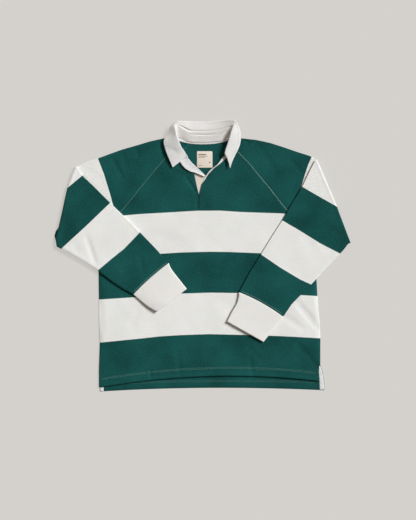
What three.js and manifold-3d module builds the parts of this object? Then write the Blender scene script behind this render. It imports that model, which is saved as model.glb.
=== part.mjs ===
import * as THREE from 'three';
import { mergeVertices } from 'three/addons/utils/BufferGeometryUtils.js';
import Module from 'manifold-3d';

// A long-sleeved rugby shirt lying face up on a flat surface. Both sleeves are folded at the
// elbow, so that the forearms and cuffs lie across the front.
// Millimetres. +X runs to the right as it is seen from above, +Y towards the collar, +Z up.
// Every panel is a wall of cloth, and each pair of sewn panels stands SEAM_GAP apart.

// Cloth walls.
const JERSEY = 1.4;
const RIB = 2.4;
const TWILL = 1.0;
const COLLAR_CLOTH = 1.8;
const SEAM_GAP = 0.3;

// Heights of the layers above the surface that the shirt lies on.
const FRONT_TOP = 5.4;
const INSIDE_LEVEL = JERSEY + SEAM_GAP;
const ELBOW_FOLD_LEVEL = 6.0;
const CUFF_THICKNESS = 7.6;
const CUFF_UNDERSIDE = FRONT_TOP + SEAM_GAP;

// The front is thicker beside the neck opening, where the placket's layers lie under it.
const PLACKET_CENTRE = [3.9, 235.2];
const PLACKET_RISE = 0.4;
const PLACKET_REACH = 95;

// The front comes down to the back over this width along a side or underarm seam.
const SEAM_ROUND = 14;

// Front panel: a row for each level from the hem to the neck. left, middle and right are where
// the level crosses the panel's two edges and its centre. drop is how far the edges come down.
const FRONT_LEVELS = [
  { name: 'hem', left: [-290.1, -366.8], middle: [17.9, -334.9], right: [325.9, -348.6], drop: 1.0, steps: 1 },
  { name: 'hem stitching', left: [-290.1, -345.8], middle: [17.9, -313.6], right: [324.8, -327.6], drop: 1.0, steps: 1 },
  { name: 'vent top', left: [-290.1, -313.6], middle: [17.9, -285.6], right: [327.3, -302.4], drop: 1.2, steps: 3 },
  { name: 'third hoop bottom', left: [-287.8, -242.2], middle: [17.9, -218.4], right: [329.6, -230.4], drop: 2.2, steps: 4 },
  { name: 'third hoop top', left: [-290.1, -121.8], middle: [17.9, -102.8], right: [321.2, -112], drop: 2.3, steps: 4 },
  { name: 'first hoop bottom', left: [-290.6, -4.2], middle: [17.9, 12], right: [315.3, 1.4], drop: 2.3, steps: 2 },
  { name: 'armpit', left: [-278.9, 44.8], middle: [17.9, 54.6], right: [303.5, 46.2], drop: 2.3, steps: 2 },
  { name: 'first hoop top', left: [-241.1, 113.7], middle: [9.5, 126], right: [248.9, 116.2], drop: 0.8, steps: 2 },
  { name: 'raglan 5', left: [-203.3, 156.8], middle: [6.7, 163.8], right: [216.7, 155.4], drop: 0, steps: 1 },
  { name: 'raglan 4', left: [-175.3, 193.2], middle: [6.7, 197.4], right: [188.7, 191.8], drop: 0, steps: 1 },
  { name: 'raglan 3', left: [-147.3, 226.8], middle: [6.7, 229.6], right: [160.7, 225.4], drop: 0, steps: 1 },
  { name: 'raglan 2', left: [-109.5, 271.6], middle: [12.3, 268.8], right: [132.7, 259], drop: 0, steps: 1 },
  { name: 'raglan 1', left: [-91.3, 292.6], middle: [3.9, 294], right: [99.1, 294], drop: 0, steps: 1 },
  { name: 'neck', left: [-77.3, 305.2], middle: [1.1, 310.8], right: [79.5, 315], drop: 0, steps: 0 },
];

// Back panel, with the same columns. It lies flat and reaches below the front's hem.
const BACK_LEVELS = [
  { name: 'hem', left: [-287.3, -378.8], middle: [17.9, -368.5], right: [340.8, -375.2], steps: 1 },
  { name: 'hem stitching', left: [-289, -358.4], middle: [17.9, -350], right: [339.9, -347.2], steps: 1 },
  { name: 'vent', left: [-290.6, -327.6], middle: [17.9, -319.2], right: [335.2, -322], steps: 1 },
  { name: 'vent top', left: [-290.1, -313.6], middle: [17.9, -291.2], right: [329.3, -305.2], steps: 1 },
  { name: 'third hoop bottom', left: [-287.8, -242.2], middle: [17.9, -218.4], right: [329.6, -230.4], steps: 2 },
  { name: 'third hoop top', left: [-290.1, -121.8], middle: [17.9, -102.8], right: [321.2, -112], steps: 2 },
  { name: 'first hoop bottom', left: [-290.6, -4.2], middle: [17.9, 12], right: [315.3, 1.4], steps: 1 },
  { name: 'armpit', left: [-278.9, 44.8], middle: [17.9, 54.6], right: [303.5, 46.2], steps: 1 },
  { name: 'raglan 6', left: [-234.1, 98], middle: [9.5, 103.6], right: [253.1, 99.4], steps: 1 },
  { name: 'raglan 5', left: [-192.1, 145.6], middle: [6.7, 151.2], right: [208.3, 147], steps: 1 },
  { name: 'raglan 4', left: [-158.5, 184.8], middle: [6.7, 187.6], right: [173.3, 186.2], steps: 1 },
  { name: 'raglan 3', left: [-127.7, 221.2], middle: [6.7, 224], right: [139.7, 222.6], steps: 1 },
  { name: 'raglan 2', left: [-89.9, 263.2], middle: [6.7, 263.2], right: [99.1, 264.6], steps: 1 },
  { name: 'raglan 1', left: [-59.1, 294], middle: [6.7, 291.2], right: [66.9, 298.2], steps: 1 },
  { name: 'neck', left: [-38.1, 318.1], middle: [6.7, 316.4], right: [51.5, 320.3], steps: 0 },
];

// The neck and front opening cut from the front panel, down to the foot of the placket slit.
const NECK_CUT = [
  [-76.2, 352.8], [-72.8, 305.2], [-60.5, 288.4], [-49.3, 273], [-35.3, 252], [-24.6, 233.8],
  [-19.9, 212.8], [-15.7, 193.2], [-10.6, 170.8], [-12, 130.2],
  [-10.9, 130.2], [-9.5, 170.8], [-1.7, 201.6], [6.7, 212.8], [16.5, 228.2], [31.9, 245],
  [48.7, 257.6], [65.5, 273], [73.9, 296.8], [78.4, 316.4], [79.5, 352.8],
];

// Creases of the front: soft troughs from one point to another.
const FRONT_CREASES = [
  { name: 'right side, upper', from: [255.9, -123.2], to: [317.5, -201.6], depth: 1.3, width: 26 },
  { name: 'right side, lower', from: [233.5, -168], to: [278.3, -210], depth: 0.9, width: 24 },
  { name: 'hem, right', from: [255.9, -246.4], to: [295.1, -285.6], depth: 1.2, width: 24 },
  { name: 'chest', from: [-54.9, 235.2], to: [-15.7, 179.2], depth: 0.8, width: 24 },
  { name: 'hem, middle', from: [-68.9, -296.8], to: [-63.3, -338.8], depth: 0.8, width: 26 },
];

// Sleeve rows from the neck to the elbow. front and back are where the row meets the front and
// back raglan seams, and below the armpit the underarm seam; top is on the shoulder fold.
const LEFT_UPPER_ARM = [
  { name: 'neck', front: [-77.3, 305.2], top: [-89.6, 331.5], back: [-38.1, 318.1], drop: 0, steps: 1 },
  { name: 'raglan 1', front: [-91.3, 292.6], top: [-109.5, 329], back: [-59.1, 294], drop: 0, steps: 1 },
  { name: 'raglan 2', front: [-109.5, 271.6], top: [-147.3, 320.6], back: [-89.9, 263.2], drop: 0, steps: 1 },
  { name: 'raglan 3', front: [-147.3, 226.8], top: [-189.3, 308], back: [-127.7, 221.2], drop: 0, steps: 1 },
  { name: 'raglan 4', front: [-175.3, 193.2], top: [-225.7, 297.6], back: [-158.5, 184.8], drop: 0, steps: 1 },
  { name: 'raglan 5', front: [-203.3, 156.8], top: [-259.3, 285.6], back: [-192.1, 145.6], drop: 0, steps: 2 },
  { name: 'raglan 6', front: [-241.1, 113.7], top: [-292.9, 273], back: [-234.1, 98], drop: 0.8, steps: 2 },
  { name: 'armpit', front: [-278.9, 44.8], top: [-323.7, 263.2], back: [-278.9, 44.8], drop: 2.3, steps: 3 },
];
const LEFT_ELBOW = { top: [-350, 249.2], under: [-400.4, 42], topReach: 1.0, underReach: 2.1 };
const RIGHT_UPPER_ARM = [
  { name: 'neck', front: [79.5, 315], top: [94.6, 331], back: [51.5, 320.3], drop: 0, steps: 1 },
  { name: 'raglan 1', front: [99.1, 294], top: [115.9, 328.4], back: [66.9, 298.2], drop: 0, steps: 1 },
  { name: 'raglan 2', front: [132.7, 259], top: [149.5, 324.8], back: [99.1, 264.6], drop: 0, steps: 1 },
  { name: 'raglan 3', front: [160.7, 225.4], top: [188.7, 316.4], back: [139.7, 222.6], drop: 0, steps: 1 },
  { name: 'raglan 4', front: [188.7, 191.8], top: [227.9, 303.8], back: [173.3, 186.2], drop: 0, steps: 1 },
  { name: 'raglan 5', front: [216.7, 155.4], top: [264.3, 291.2], back: [208.3, 147], drop: 0, steps: 2 },
  { name: 'raglan 6', front: [248.9, 116.2], top: [297.9, 280.6], back: [253.1, 99.4], drop: 0.8, steps: 2 },
  { name: 'armpit', front: [303.5, 46.2], top: [310.8, 274.4], back: [303.5, 46.2], drop: 2.3, steps: 3 },
];
const RIGHT_ELBOW = { top: [314.2, 267.1], under: [406.6, 35], topReach: 1.0, underReach: 1.2 };

// Forearm rows from the elbow to the cuff seam. top carries on from the shoulder fold and
// under from the underarm seam; lift is how far the row stands above the front.
const LEFT_FOREARM = [
  { top: [-332.1, 220.6], under: [-382.5, 13.4], lift: 0.7, steps: 1 },
  { top: [-306.9, 197.1], under: [-354.5, -2.2], lift: 0.4, steps: 1 },
  { top: [-278.9, 169.1], under: [-323.7, -20.7], lift: 0, steps: 1 },
  { top: [-245.3, 136.1], under: [-292.9, -40.6], lift: 0, steps: 1 },
  { top: [-206.1, 98.6], under: [-262.1, -63.8], lift: 0, steps: 1 },
  { top: [-169.7, 60.5], under: [-239.7, -79.8], lift: 0, steps: 1 },
  { top: [-133.3, 23], under: [-217.3, -94.1], lift: 0, steps: 1 },
  { top: [-95.8, -18.5], under: [-194.3, -106.4], lift: 0, steps: 0 },
];
const RIGHT_FOREARM = [
  { top: [297.9, 235.2], under: [390.3, 14], lift: 0.7, steps: 1 },
  { top: [278.3, 194], under: [367.9, -8.4], lift: 0.4, steps: 1 },
  { top: [250.3, 148.4], under: [344.1, -33.6], lift: 0, steps: 1 },
  { top: [222.3, 99.4], under: [320.3, -59.9], lift: 0, steps: 1 },
  { top: [192.9, 53.2], under: [296.5, -86.2], lift: 0, steps: 1 },
  { top: [163.5, 5.6], under: [272.7, -109.2], lift: 0, steps: 1 },
  { top: [132.7, -43.4], under: [247.5, -135.2], lift: 0, steps: 1 },
  { top: [102.5, -99.4], under: [225.7, -168], lift: 0, steps: 0 },
];

// Cuff rows from the seam to the edge, with the height of each side above the front.
const LEFT_CUFF = [
  { top: [-94.4, -19.9], under: [-193.2, -107.8], topLift: 0, underLift: 0, steps: 2 },
  { top: [-86.2, -37.5], under: [-179.5, -119.6], topLift: 0, underLift: 1.5, steps: 2 },
  { top: [-63.3, -67.2], under: [-152.9, -140.6], topLift: 1.5, underLift: 5, steps: 2 },
  { top: [-44.5, -91], under: [-127.1, -155.1], topLift: 3, underLift: 8, steps: 0 },
];
const RIGHT_CUFF = [
  { top: [101.6, -101.4], under: [224.8, -170.2], topLift: 0, underLift: 0, steps: 2 },
  { top: [96.3, -128.8], under: [208, -191.2], topLift: 0, underLift: 0, steps: 2 },
  { top: [82.3, -154], under: [189.6, -215.6], topLift: 0, underLift: 0, steps: 2 },
  { top: [68.3, -182], under: [170.5, -239.4], topLift: 1, underLift: 1, steps: 0 },
];

// Collar sections from the left front end, round the back of the neck, to the right front end.
// Each runs from the neck seam over the roll to the outer edge, with the height of each.
const COLLAR_SECTIONS = [
  { neck: [-39.8, 267.7], roll: [-44.8, 278.9], edge: [-83.4, 247.8], heights: [8.6, 12, 7.2] },
  { neck: [-50.4, 279.4], roll: [-51.5, 290.6], edge: [-91.3, 266], heights: [8.8, 16, 8.2] },
  { neck: [-63.8, 294], roll: [-60.5, 303.5], edge: [-103.6, 296.8], heights: [7.6, 19, 8.6] },
  { neck: [-73.4, 309.7], roll: [-68, 322], edge: [-108.1, 322], heights: [6.9, 22, 9.5] },
  { neck: [-76.2, 322], roll: [-73.1, 340.5], edge: [-102.5, 344.4], heights: [5.2, 24, 12] },
  { neck: [-73.1, 329.3], roll: [-75.6, 358.4], edge: [-94.1, 364], heights: [3.4, 22, 20] },
  { neck: [-61.9, 329.8], roll: [-67.2, 361.2], edge: [-74.5, 375.8], heights: [2.6, 17, 21] },
  { neck: [-38.1, 323.1], roll: [-38.1, 350], edge: [-38.1, 377.4], heights: [2.4, 12, 12] },
  { neck: [-15.7, 321.4], roll: [-15.7, 350], edge: [-15.7, 376.9], heights: [2.4, 11, 10] },
  { neck: [6.7, 321.2], roll: [6.7, 350], edge: [6.7, 377.2], heights: [2.4, 11, 9.5] },
  { neck: [29.1, 322.6], roll: [29.1, 351.7], edge: [29.1, 377.4], heights: [2.4, 12, 11] },
  { neck: [51.5, 325.4], roll: [52.9, 354.5], edge: [54.3, 378], heights: [2.4, 14, 15] },
  { neck: [68.3, 330.4], roll: [73.9, 361.2], edge: [79.5, 378.3], heights: [2.8, 18, 22] },
  { neck: [79, 331], roll: [84, 361.2], edge: [94.6, 373.5], heights: [3.6, 23, 25] },
  { neck: [81.8, 323.7], roll: [80.6, 347.2], edge: [105.8, 350], heights: [5.4, 26, 20] },
  { neck: [80.6, 313.6], roll: [75.6, 329.3], edge: [107.5, 329], heights: [7, 25, 16] },
  { neck: [76.2, 299.6], roll: [70, 310.8], edge: [102.5, 306.6], heights: [7.2, 22, 14] },
  { neck: [71.1, 285.6], roll: [64.4, 294], edge: [92.4, 285], heights: [7.2, 19, 13] },
  { neck: [66.6, 272.2], roll: [61.6, 280], edge: [83.4, 264.3], heights: [7, 15, 12] },
  { neck: [67.2, 264.3], roll: [64.4, 268.8], edge: [76.7, 245], heights: [7, 12.5, 10] },
];

// The placket's facing turned out on the left: rows from the collar down to the foot of the V.
const LEFT_FACING = [
  { fold: [-50.4, 283.9], free: [-62.7, 263.8], rise: 0.2 },
  { fold: [-40.9, 272.7], free: [-57.1, 254.2], rise: 0.6 },
  { fold: [-29.7, 260.4], free: [-46.5, 243.6], rise: 1.2 },
  { fold: [-18.5, 249.2], free: [-33.6, 236.3], rise: 1.4 },
  { fold: [-7.3, 239.4], free: [-20.2, 232.7], rise: 1.0 },
  { fold: [7.8, 224.6], free: [3.4, 222.9], rise: 0.4 },
];

// The narrow facing inside the opening on the right, from the foot of the V to the collar.
const RIGHT_FACING = [
  { fold: [5, 218.4], free: [-1.7, 198.8], rise: 0 },
  { fold: [10.1, 225.7], free: [9, 211.7], rise: 0 },
  { fold: [20.7, 239.4], free: [19.6, 225.7], rise: 0 },
  { fold: [40.3, 254.8], free: [40.3, 244.7], rise: 0 },
  { fold: [51.5, 268.8], free: [57.1, 259.3], rise: 0 },
  { fold: [60.5, 280], free: [72.8, 272.7], rise: 0 },
];
const RIGHT_FACING_LEVEL = 3.0;

// The placket's underlap behind the opening, seen in the foot of the V.
const UNDERLAP_OUTLINE = [
  [-31.1, 238], [-23, 234.1], [9, 223.4], [29.1, 229.6], [29.1, 126], [-31.1, 126],
];

// Neck tape inside the back of the neck, covering the collar seam.
const NECK_TAPE_WIDTH = 7.5;
const NECK_TAPE_LINE = [
  [-64.4, 321.4], [-52.1, 317.8], [-35.3, 314.4], [-15.7, 312.8], [6.7, 312.5], [29.1, 313.6],
  [48.7, 317], [72.2, 322.3],
];

// The neck label, bare, sewn inside the back of the neck.
const LABEL = { centre: [5.9, 270.2], width: 43.4, height: 46.2, corner: 4.5 };

// Tapes that face the side vents, on the inside of the back panel.
const LEFT_VENT_TAPE = [
  { outer: [-286.2, -378.6], inner: [-277.2, -378] },
  { outer: [-287.8, -358.4], inner: [-277.8, -358.4] },
  { outer: [-289, -319.2], inner: [-278.9, -319.2] },
];
const RIGHT_VENT_TAPE = [
  { outer: [339.6, -374.4], inner: [327.6, -373.8] },
  { outer: [338.5, -347.2], inner: [327, -347.2] },
  { outer: [333.8, -322], inner: [324.8, -322] },
  { outer: [328.7, -308], inner: [320.3, -308] },
];

const plan = ([x, y]) => new THREE.Vector2(x, y);
const lift = (point, z) => new THREE.Vector3(point.x, point.y, z);

// A quadratic through a level's left, middle and right points.
function levelPoint(level, u) {
  const left = plan(level.left).multiplyScalar((1 - u) * (1 - 2 * u));
  const middle = plan(level.middle).multiplyScalar(4 * u * (1 - u));
  const right = plan(level.right).multiplyScalar(u * (2 * u - 1));
  return left.add(middle).add(right);
}

// Values between two table rows: pairs of coordinates, lists of heights and plain sizes.
function blendRows(a, b, t) {
  const row = {};
  for (const key of Object.keys(a)) {
    if (Array.isArray(a[key])) {
      row[key] = a[key].map((value, i) => value + (b[key][i] - value) * t);
    } else if (typeof a[key] === 'number') {
      row[key] = a[key] + (b[key] - a[key]) * t;
    }
  }
  return row;
}

// The table's rows with each row's steps filled in between it and the next.
function fillRows(table) {
  const rows = [];
  table.forEach((row, i) => {
    const count = Math.max(row.steps, 1);
    for (let k = 0; k < count; k += 1) {
      const next = table[Math.min(i + 1, table.length - 1)];
      rows.push(blendRows(row, next, k / count));
    }
  });
  return rows;
}

// Smooth values through a table of rows, `per` to each interval.
function smoothRows(table, per) {
  const keys = Object.keys(table[0]).filter((key) => Array.isArray(table[0][key]));
  const rows = [];
  const last = table.length - 1;
  for (let k = 0; k <= last * per; k += 1) {
    const i = Math.min(Math.floor(k / per), last - 1);
    const t = k / per - i;
    const row = {};
    for (const key of keys) {
      const before = table[Math.max(i - 1, 0)][key];
      const from = table[i][key];
      const to = table[i + 1][key];
      const after = table[Math.min(i + 2, last)][key];
      row[key] = from.map((value, c) => {
        const startSlope = (to[c] - before[c]) / 2;
        const endSlope = (after[c] - value) / 2;
        const rise = to[c] - value;
        const bend = startSlope + endSlope - 2 * rise;
        const sag = 3 * rise - 2 * startSlope - endSlope;
        return value + t * (startSlope + t * (sag + t * bend));
      });
    }
    rows.push(row);
  }
  return rows;
}

// A closed wall between two grids of points. `ring` joins the last column to the first.
function wallGeometry(faceA, faceB, ring = false) {
  const rows = faceA.length;
  const columns = faceA[0].length;
  const positions = [];
  const quad = (a, b, c, d) => {
    for (const point of [a, b, c, a, c, d]) {
      positions.push(point.x, point.y, point.z);
    }
  };
  const lastColumn = ring ? columns : columns - 1;
  for (let r = 0; r < rows - 1; r += 1) {
    for (let c = 0; c < lastColumn; c += 1) {
      const n = (c + 1) % columns;
      quad(faceA[r][c], faceA[r][n], faceA[r + 1][n], faceA[r + 1][c]);
      quad(faceB[r][n], faceB[r][c], faceB[r + 1][c], faceB[r + 1][n]);
    }
  }
  for (let c = 0; c < lastColumn; c += 1) {
    const n = (c + 1) % columns;
    quad(faceB[0][c], faceB[0][n], faceA[0][n], faceA[0][c]);
    quad(faceA[rows - 1][c], faceA[rows - 1][n], faceB[rows - 1][n], faceB[rows - 1][c]);
  }
  if (!ring) {
    const e = columns - 1;
    for (let r = 0; r < rows - 1; r += 1) {
      quad(faceA[r][0], faceA[r + 1][0], faceB[r + 1][0], faceB[r][0]);
      quad(faceB[r][e], faceB[r + 1][e], faceA[r + 1][e], faceA[r][e]);
    }
  }
  return closedGeometry(positions);
}

// Merged vertices, with the faces turned outwards.
function closedGeometry(positions) {
  let volume = 0;
  const p = positions;
  for (let i = 0; i < p.length; i += 9) {
    const crossX = p[i + 4] * p[i + 8] - p[i + 5] * p[i + 7];
    const crossY = p[i + 5] * p[i + 6] - p[i + 3] * p[i + 8];
    const crossZ = p[i + 3] * p[i + 7] - p[i + 4] * p[i + 6];
    volume += p[i] * crossX + p[i + 1] * crossY + p[i + 2] * crossZ;
  }
  if (volume < 0) {
    for (let i = 0; i < p.length; i += 9) {
      for (let k = 0; k < 3; k += 1) {
        const second = p[i + 3 + k];
        p[i + 3 + k] = p[i + 6 + k];
        p[i + 6 + k] = second;
      }
    }
  }
  const geometry = new THREE.BufferGeometry();
  geometry.setAttribute('position', new THREE.Float32BufferAttribute(p, 3));
  return mergeVertices(geometry, 1e-3);
}

// The two faces of a wall of cloth, half its thickness either side of a grid of points.
function wallFromMiddle(grid, thickness) {
  const rows = grid.length;
  const columns = grid[0].length;
  const offset = (sign) => grid.map((row, r) => row.map((point, c) => {
    const along = grid[Math.min(r + 1, rows - 1)][c].clone().sub(grid[Math.max(r - 1, 0)][c]);
    const across = row[Math.min(c + 1, columns - 1)].clone().sub(row[Math.max(c - 1, 0)]);
    const normal = along.cross(across).normalize();
    return point.clone().addScaledVector(normal, (sign * thickness) / 2);
  }));
  return wallGeometry(offset(1), offset(-1));
}

// A flat piece cut to an outline.
function flatPiece(outline, level, thickness) {
  const shape = new THREE.Shape(outline.map(plan));
  const geometry = new THREE.ExtrudeGeometry(shape, { depth: thickness, bevelEnabled: false });
  geometry.translate(0, 0, level);
  geometry.deleteAttribute('normal');
  geometry.deleteAttribute('uv');
  return mergeVertices(geometry, 1e-3);
}

// How deep the creases lie at a point of the front.
function creaseDepth(point) {
  let depth = 0;
  for (const crease of FRONT_CREASES) {
    const from = plan(crease.from);
    const run = plan(crease.to).sub(from);
    const t = THREE.MathUtils.clamp(point.clone().sub(from).dot(run) / run.lengthSq(), 0, 1);
    const distance = point.distanceTo(from.addScaledVector(run, t));
    const fall = Math.max(0, 1 - (distance / crease.width) ** 2);
    depth = Math.max(depth, crease.depth * fall * fall);
  }
  return depth;
}

function placketRise(point) {
  const distance = point.distanceTo(plan(PLACKET_CENTRE));
  return PLACKET_RISE * (1 - THREE.MathUtils.smoothstep(distance, PLACKET_REACH * 0.7, PLACKET_REACH));
}

// Height of the front's outer face at a point that lies `edge` from a seam that comes down.
function frontHeight(point, edge, drop) {
  const near = Math.max(0, 1 - edge / SEAM_ROUND);
  const height = FRONT_TOP + placketRise(point) - drop * near * near - creaseDepth(point);
  return Math.max(height, INSIDE_LEVEL + JERSEY);
}

// Stations across a body panel: close together at the edges, where the front comes down.
const EDGE_STATIONS = [0, 0.006, 0.015, 0.03];
const MIDDLE_STATIONS = 26;

function panelStations(count) {
  const inner = EDGE_STATIONS[EDGE_STATIONS.length - 1];
  const middle = [];
  for (let i = 1; i < count; i += 1) {
    middle.push(inner + ((1 - 2 * inner) * i) / count);
  }
  const right = EDGE_STATIONS.map((u) => 1 - u).reverse();
  return [...EDGE_STATIONS, ...middle, ...right];
}

// A level drawn in at both ends by half the seam gap.
function trimmedLevel(level) {
  const draw = SEAM_GAP * 0.75;
  const [leftX, leftY] = level.left;
  const [rightX, rightY] = level.right;
  return { ...level, left: [leftX + draw, leftY], right: [rightX - draw, rightY] };
}

function frontPanelGeometry() {
  const stations = panelStations(MIDDLE_STATIONS);
  const outer = [];
  const inner = [];
  for (const row of fillRows(FRONT_LEVELS)) {
    const level = trimmedLevel(row);
    const width = plan(level.left).distanceTo(plan(level.right));
    const points = stations.map((u) => {
      const point = levelPoint(level, u);
      return lift(point, frontHeight(point, Math.min(u, 1 - u) * width, level.drop));
    });
    outer.push(points);
    inner.push(points.map((point) => lift(point, point.z - JERSEY)));
  }
  return wallGeometry(outer, inner);
}

function backPanelGeometry() {
  const count = 14;
  const upper = [];
  const lower = [];
  for (const row of fillRows(BACK_LEVELS)) {
    const level = trimmedLevel(row);
    const points = [];
    for (let i = 0; i <= count; i += 1) {
      points.push(levelPoint(level, i / count));
    }
    upper.push(points.map((point) => lift(point, JERSEY)));
    lower.push(points.map((point) => lift(point, 0)));
  }
  return wallGeometry(upper, lower);
}

// Stations round a sleeve: across the front layer from the seam to the shoulder fold, round
// the fold, and back across the back layer.
const FRONT_SHARES = [0, 0.03, 0.07, 0.13, 0.25, 0.4, 0.55, 0.7, 0.85, 0.95];
const BACK_SHARES = [0.95, 0.75, 0.5, 0.25, 0];
const FOLD_ANGLES = [90, 54, 18, -18, -54, -90];

// One wall point of a sleeve row: its place in plan and its height while the arm lies flat.
function sleeveSection(row, wallOffset) {
  const radius = FRONT_TOP / 2 - wallOffset;
  const top = plan(row.top);
  const front = plan(row.front);
  const back = plan(row.back);
  const reach = top.clone().sub(front);
  const width = reach.length();
  const outward = reach.divideScalar(width);
  const foldCentre = top.clone().addScaledVector(outward, -FRONT_TOP / 2);
  const points = [];
  for (const share of FRONT_SHARES) {
    const point = front.clone().lerp(foldCentre, share / 0.95 * 0.97);
    const edge = share * width;
    points.push({ point, z: frontHeight(point, edge, row.drop) - wallOffset, share });
  }
  for (const angle of FOLD_ANGLES) {
    const turn = THREE.MathUtils.degToRad(angle);
    const point = foldCentre.clone().addScaledVector(outward, radius * Math.cos(turn));
    points.push({ point, z: FRONT_TOP / 2 + radius * Math.sin(turn), share: 1 });
  }
  for (const share of BACK_SHARES) {
    const point = back.clone().lerp(foldCentre, share / 0.95 * 0.97);
    points.push({ point, z: wallOffset, share });
  }
  return points;
}

// A sleeve face: the upper arm lies flat, the elbow rolls over the fold line, and the
// forearm lies turned over on top.
function sleeveFace(upperArm, elbow, forearm, wallOffset) {
  const foldRow = { front: elbow.under, top: elbow.top, back: elbow.under, drop: 2.3, steps: 1 };
  const upper = fillRows([...upperArm, foldRow]).slice(0, -1);
  const face = upper.map((row) => sleeveSection(row, wallOffset)
    .map(({ point, z }) => lift(point, z)));
  const axis = plan(elbow.top).sub(plan(elbow.under)).normalize();
  const side = Math.sign(plan(elbow.top).x - plan(upperArm[0].top).x);
  const outward = new THREE.Vector2(axis.y * side, -axis.x * side);
  const turns = 7;
  for (let k = 0; k <= turns; k += 1) {
    const turn = (Math.PI * k) / turns;
    face.push(sleeveSection(foldRow, wallOffset).map(({ point, z, share }) => {
      const depth = ELBOW_FOLD_LEVEL - z;
      const reach = THREE.MathUtils.lerp(elbow.underReach, elbow.topReach, share);
      const moved = point.addScaledVector(outward, depth * reach * Math.sin(turn));
      return lift(moved, ELBOW_FOLD_LEVEL - depth * Math.cos(turn));
    }));
  }
  const settle = 2 * ELBOW_FOLD_LEVEL - FRONT_TOP - CUFF_UNDERSIDE;
  for (const row of fillRows(forearm)) {
    const flat = { front: row.under, top: row.top, back: row.under, drop: 2.3 };
    face.push(sleeveSection(flat, wallOffset).map(({ point, z }) => {
      const level = z + creaseDepth(point) * (z > FRONT_TOP / 2 ? 1 : 0);
      return lift(point, 2 * ELBOW_FOLD_LEVEL - settle + row.lift - level);
    }));
  }
  return face;
}

// Draws a sleeve's raglan edges in by half the seam gap, away from the body.
function trimmedSleeve(upperArm) {
  const side = Math.sign(upperArm[upperArm.length - 1].top[0] - upperArm[0].top[0]);
  const draw = side * SEAM_GAP * 0.75;
  return upperArm.map((row) => ({
    ...row,
    front: [row.front[0] + draw, row.front[1]],
    back: [row.back[0] + draw, row.back[1]],
  }));
}

function sleeveGeometry(upperArm, elbow, forearm) {
  const trimmed = trimmedSleeve(upperArm);
  const outer = sleeveFace(trimmed, elbow, forearm, 0);
  const inner = sleeveFace(trimmed, elbow, forearm, JERSEY);
  return wallGeometry(outer, inner);
}

// A flattened tube of rib: rounded at both sides and open at both ends.
function cuffGeometry(table) {
  const sideAngles = [-90, -60, -30, 0, 30, 60, 90];
  const acrossShares = [0.2, 0.4, 0.6, 0.8];
  const face = (wallOffset) => fillRows(table).map((row) => {
    const half = CUFF_THICKNESS / 2;
    const radius = half - wallOffset;
    const under = plan(row.under);
    const top = plan(row.top);
    const outward = top.clone().sub(under).normalize();
    const underCentre = under.clone().addScaledVector(outward, half);
    const topCentre = top.clone().addScaledVector(outward, -half);
    const ring = [];
    const add = (point, share, height) => {
      const raise = THREE.MathUtils.lerp(row.underLift, row.topLift, share);
      ring.push(lift(point, CUFF_UNDERSIDE + half + raise + height));
    };
    for (const angle of sideAngles) {
      const turn = THREE.MathUtils.degToRad(angle);
      const point = topCentre.clone().addScaledVector(outward, radius * Math.cos(turn));
      add(point, 1, radius * Math.sin(turn));
    }
    for (const share of acrossShares) {
      add(topCentre.clone().lerp(underCentre, share), 1 - share, radius);
    }
    for (const angle of sideAngles) {
      const turn = THREE.MathUtils.degToRad(angle);
      const point = underCentre.clone().addScaledVector(outward, -radius * Math.cos(turn));
      add(point, 0, -radius * Math.sin(turn));
    }
    for (const share of acrossShares) {
      add(underCentre.clone().lerp(topCentre, share), share, -radius);
    }
    return ring;
  });
  return wallGeometry(face(0), face(RIB), true);
}

// The collar: an arch from the neck seam over the roll to the outer edge, all the way round.
function collarGeometry() {
  const pointsAcross = 8;
  const sections = smoothRows(COLLAR_SECTIONS, 3).map((row) => {
    const neck = lift(plan(row.neck), row.heights[0]);
    const roll = lift(plan(row.roll), row.heights[1]);
    const edge = lift(plan(row.edge), row.heights[2]);
    const arch = new THREE.CatmullRomCurve3([neck, roll, edge], false, 'centripetal');
    return arch.getPoints(pointsAcross);
  });
  return wallFromMiddle(sections, COLLAR_CLOTH);
}

// A narrow band between a folded edge and a free edge, rolled up a little at the fold.
function bandGeometry(table, level) {
  const shares = [0, 0.2, 0.5, 1];
  const lower = table.map((row) => shares.map((share) => {
    const point = plan(row.fold).lerp(plan(row.free), share);
    return lift(point, level + row.rise * (1 - share) ** 2);
  }));
  const upper = lower.map((row) => row.map((point) => lift(point, point.z + TWILL)));
  return wallGeometry(upper, lower);
}

function tapeGeometry(table, level) {
  const rows = table.map((row) => [plan(row.outer), plan(row.inner)]);
  const lower = rows.map((row) => row.map((point) => lift(point, level)));
  const upper = rows.map((row) => row.map((point) => lift(point, level + TWILL)));
  return wallGeometry(upper, lower);
}

function neckTapeGeometry() {
  const rows = NECK_TAPE_LINE.map(([x, y]) => ({ outer: [x, y], inner: [x, y + NECK_TAPE_WIDTH] }));
  return tapeGeometry(rows, INSIDE_LEVEL);
}

function labelGeometry() {
  const { centre, width, height, corner } = LABEL;
  const outline = [];
  const corners = [[1, -1, -90], [1, 1, 0], [-1, 1, 90], [-1, -1, 180]];
  for (const [sideX, sideY, start] of corners) {
    for (const step of [0, 45, 90]) {
      const turn = THREE.MathUtils.degToRad(start + step);
      outline.push([
        centre[0] + sideX * (width / 2 - corner) + corner * Math.cos(turn),
        centre[1] + sideY * (height / 2 - corner) + corner * Math.sin(turn),
      ]);
    }
  }
  return flatPiece(outline, INSIDE_LEVEL, TWILL);
}

const wasm = await Module();
wasm.setup();

function toSolid(geometry) {
  const vertProperties = new Float32Array(geometry.getAttribute('position').array);
  const triVerts = new Uint32Array(geometry.getIndex().array);
  return new wasm.Manifold(new wasm.Mesh({ numProp: 3, vertProperties, triVerts }));
}

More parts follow.
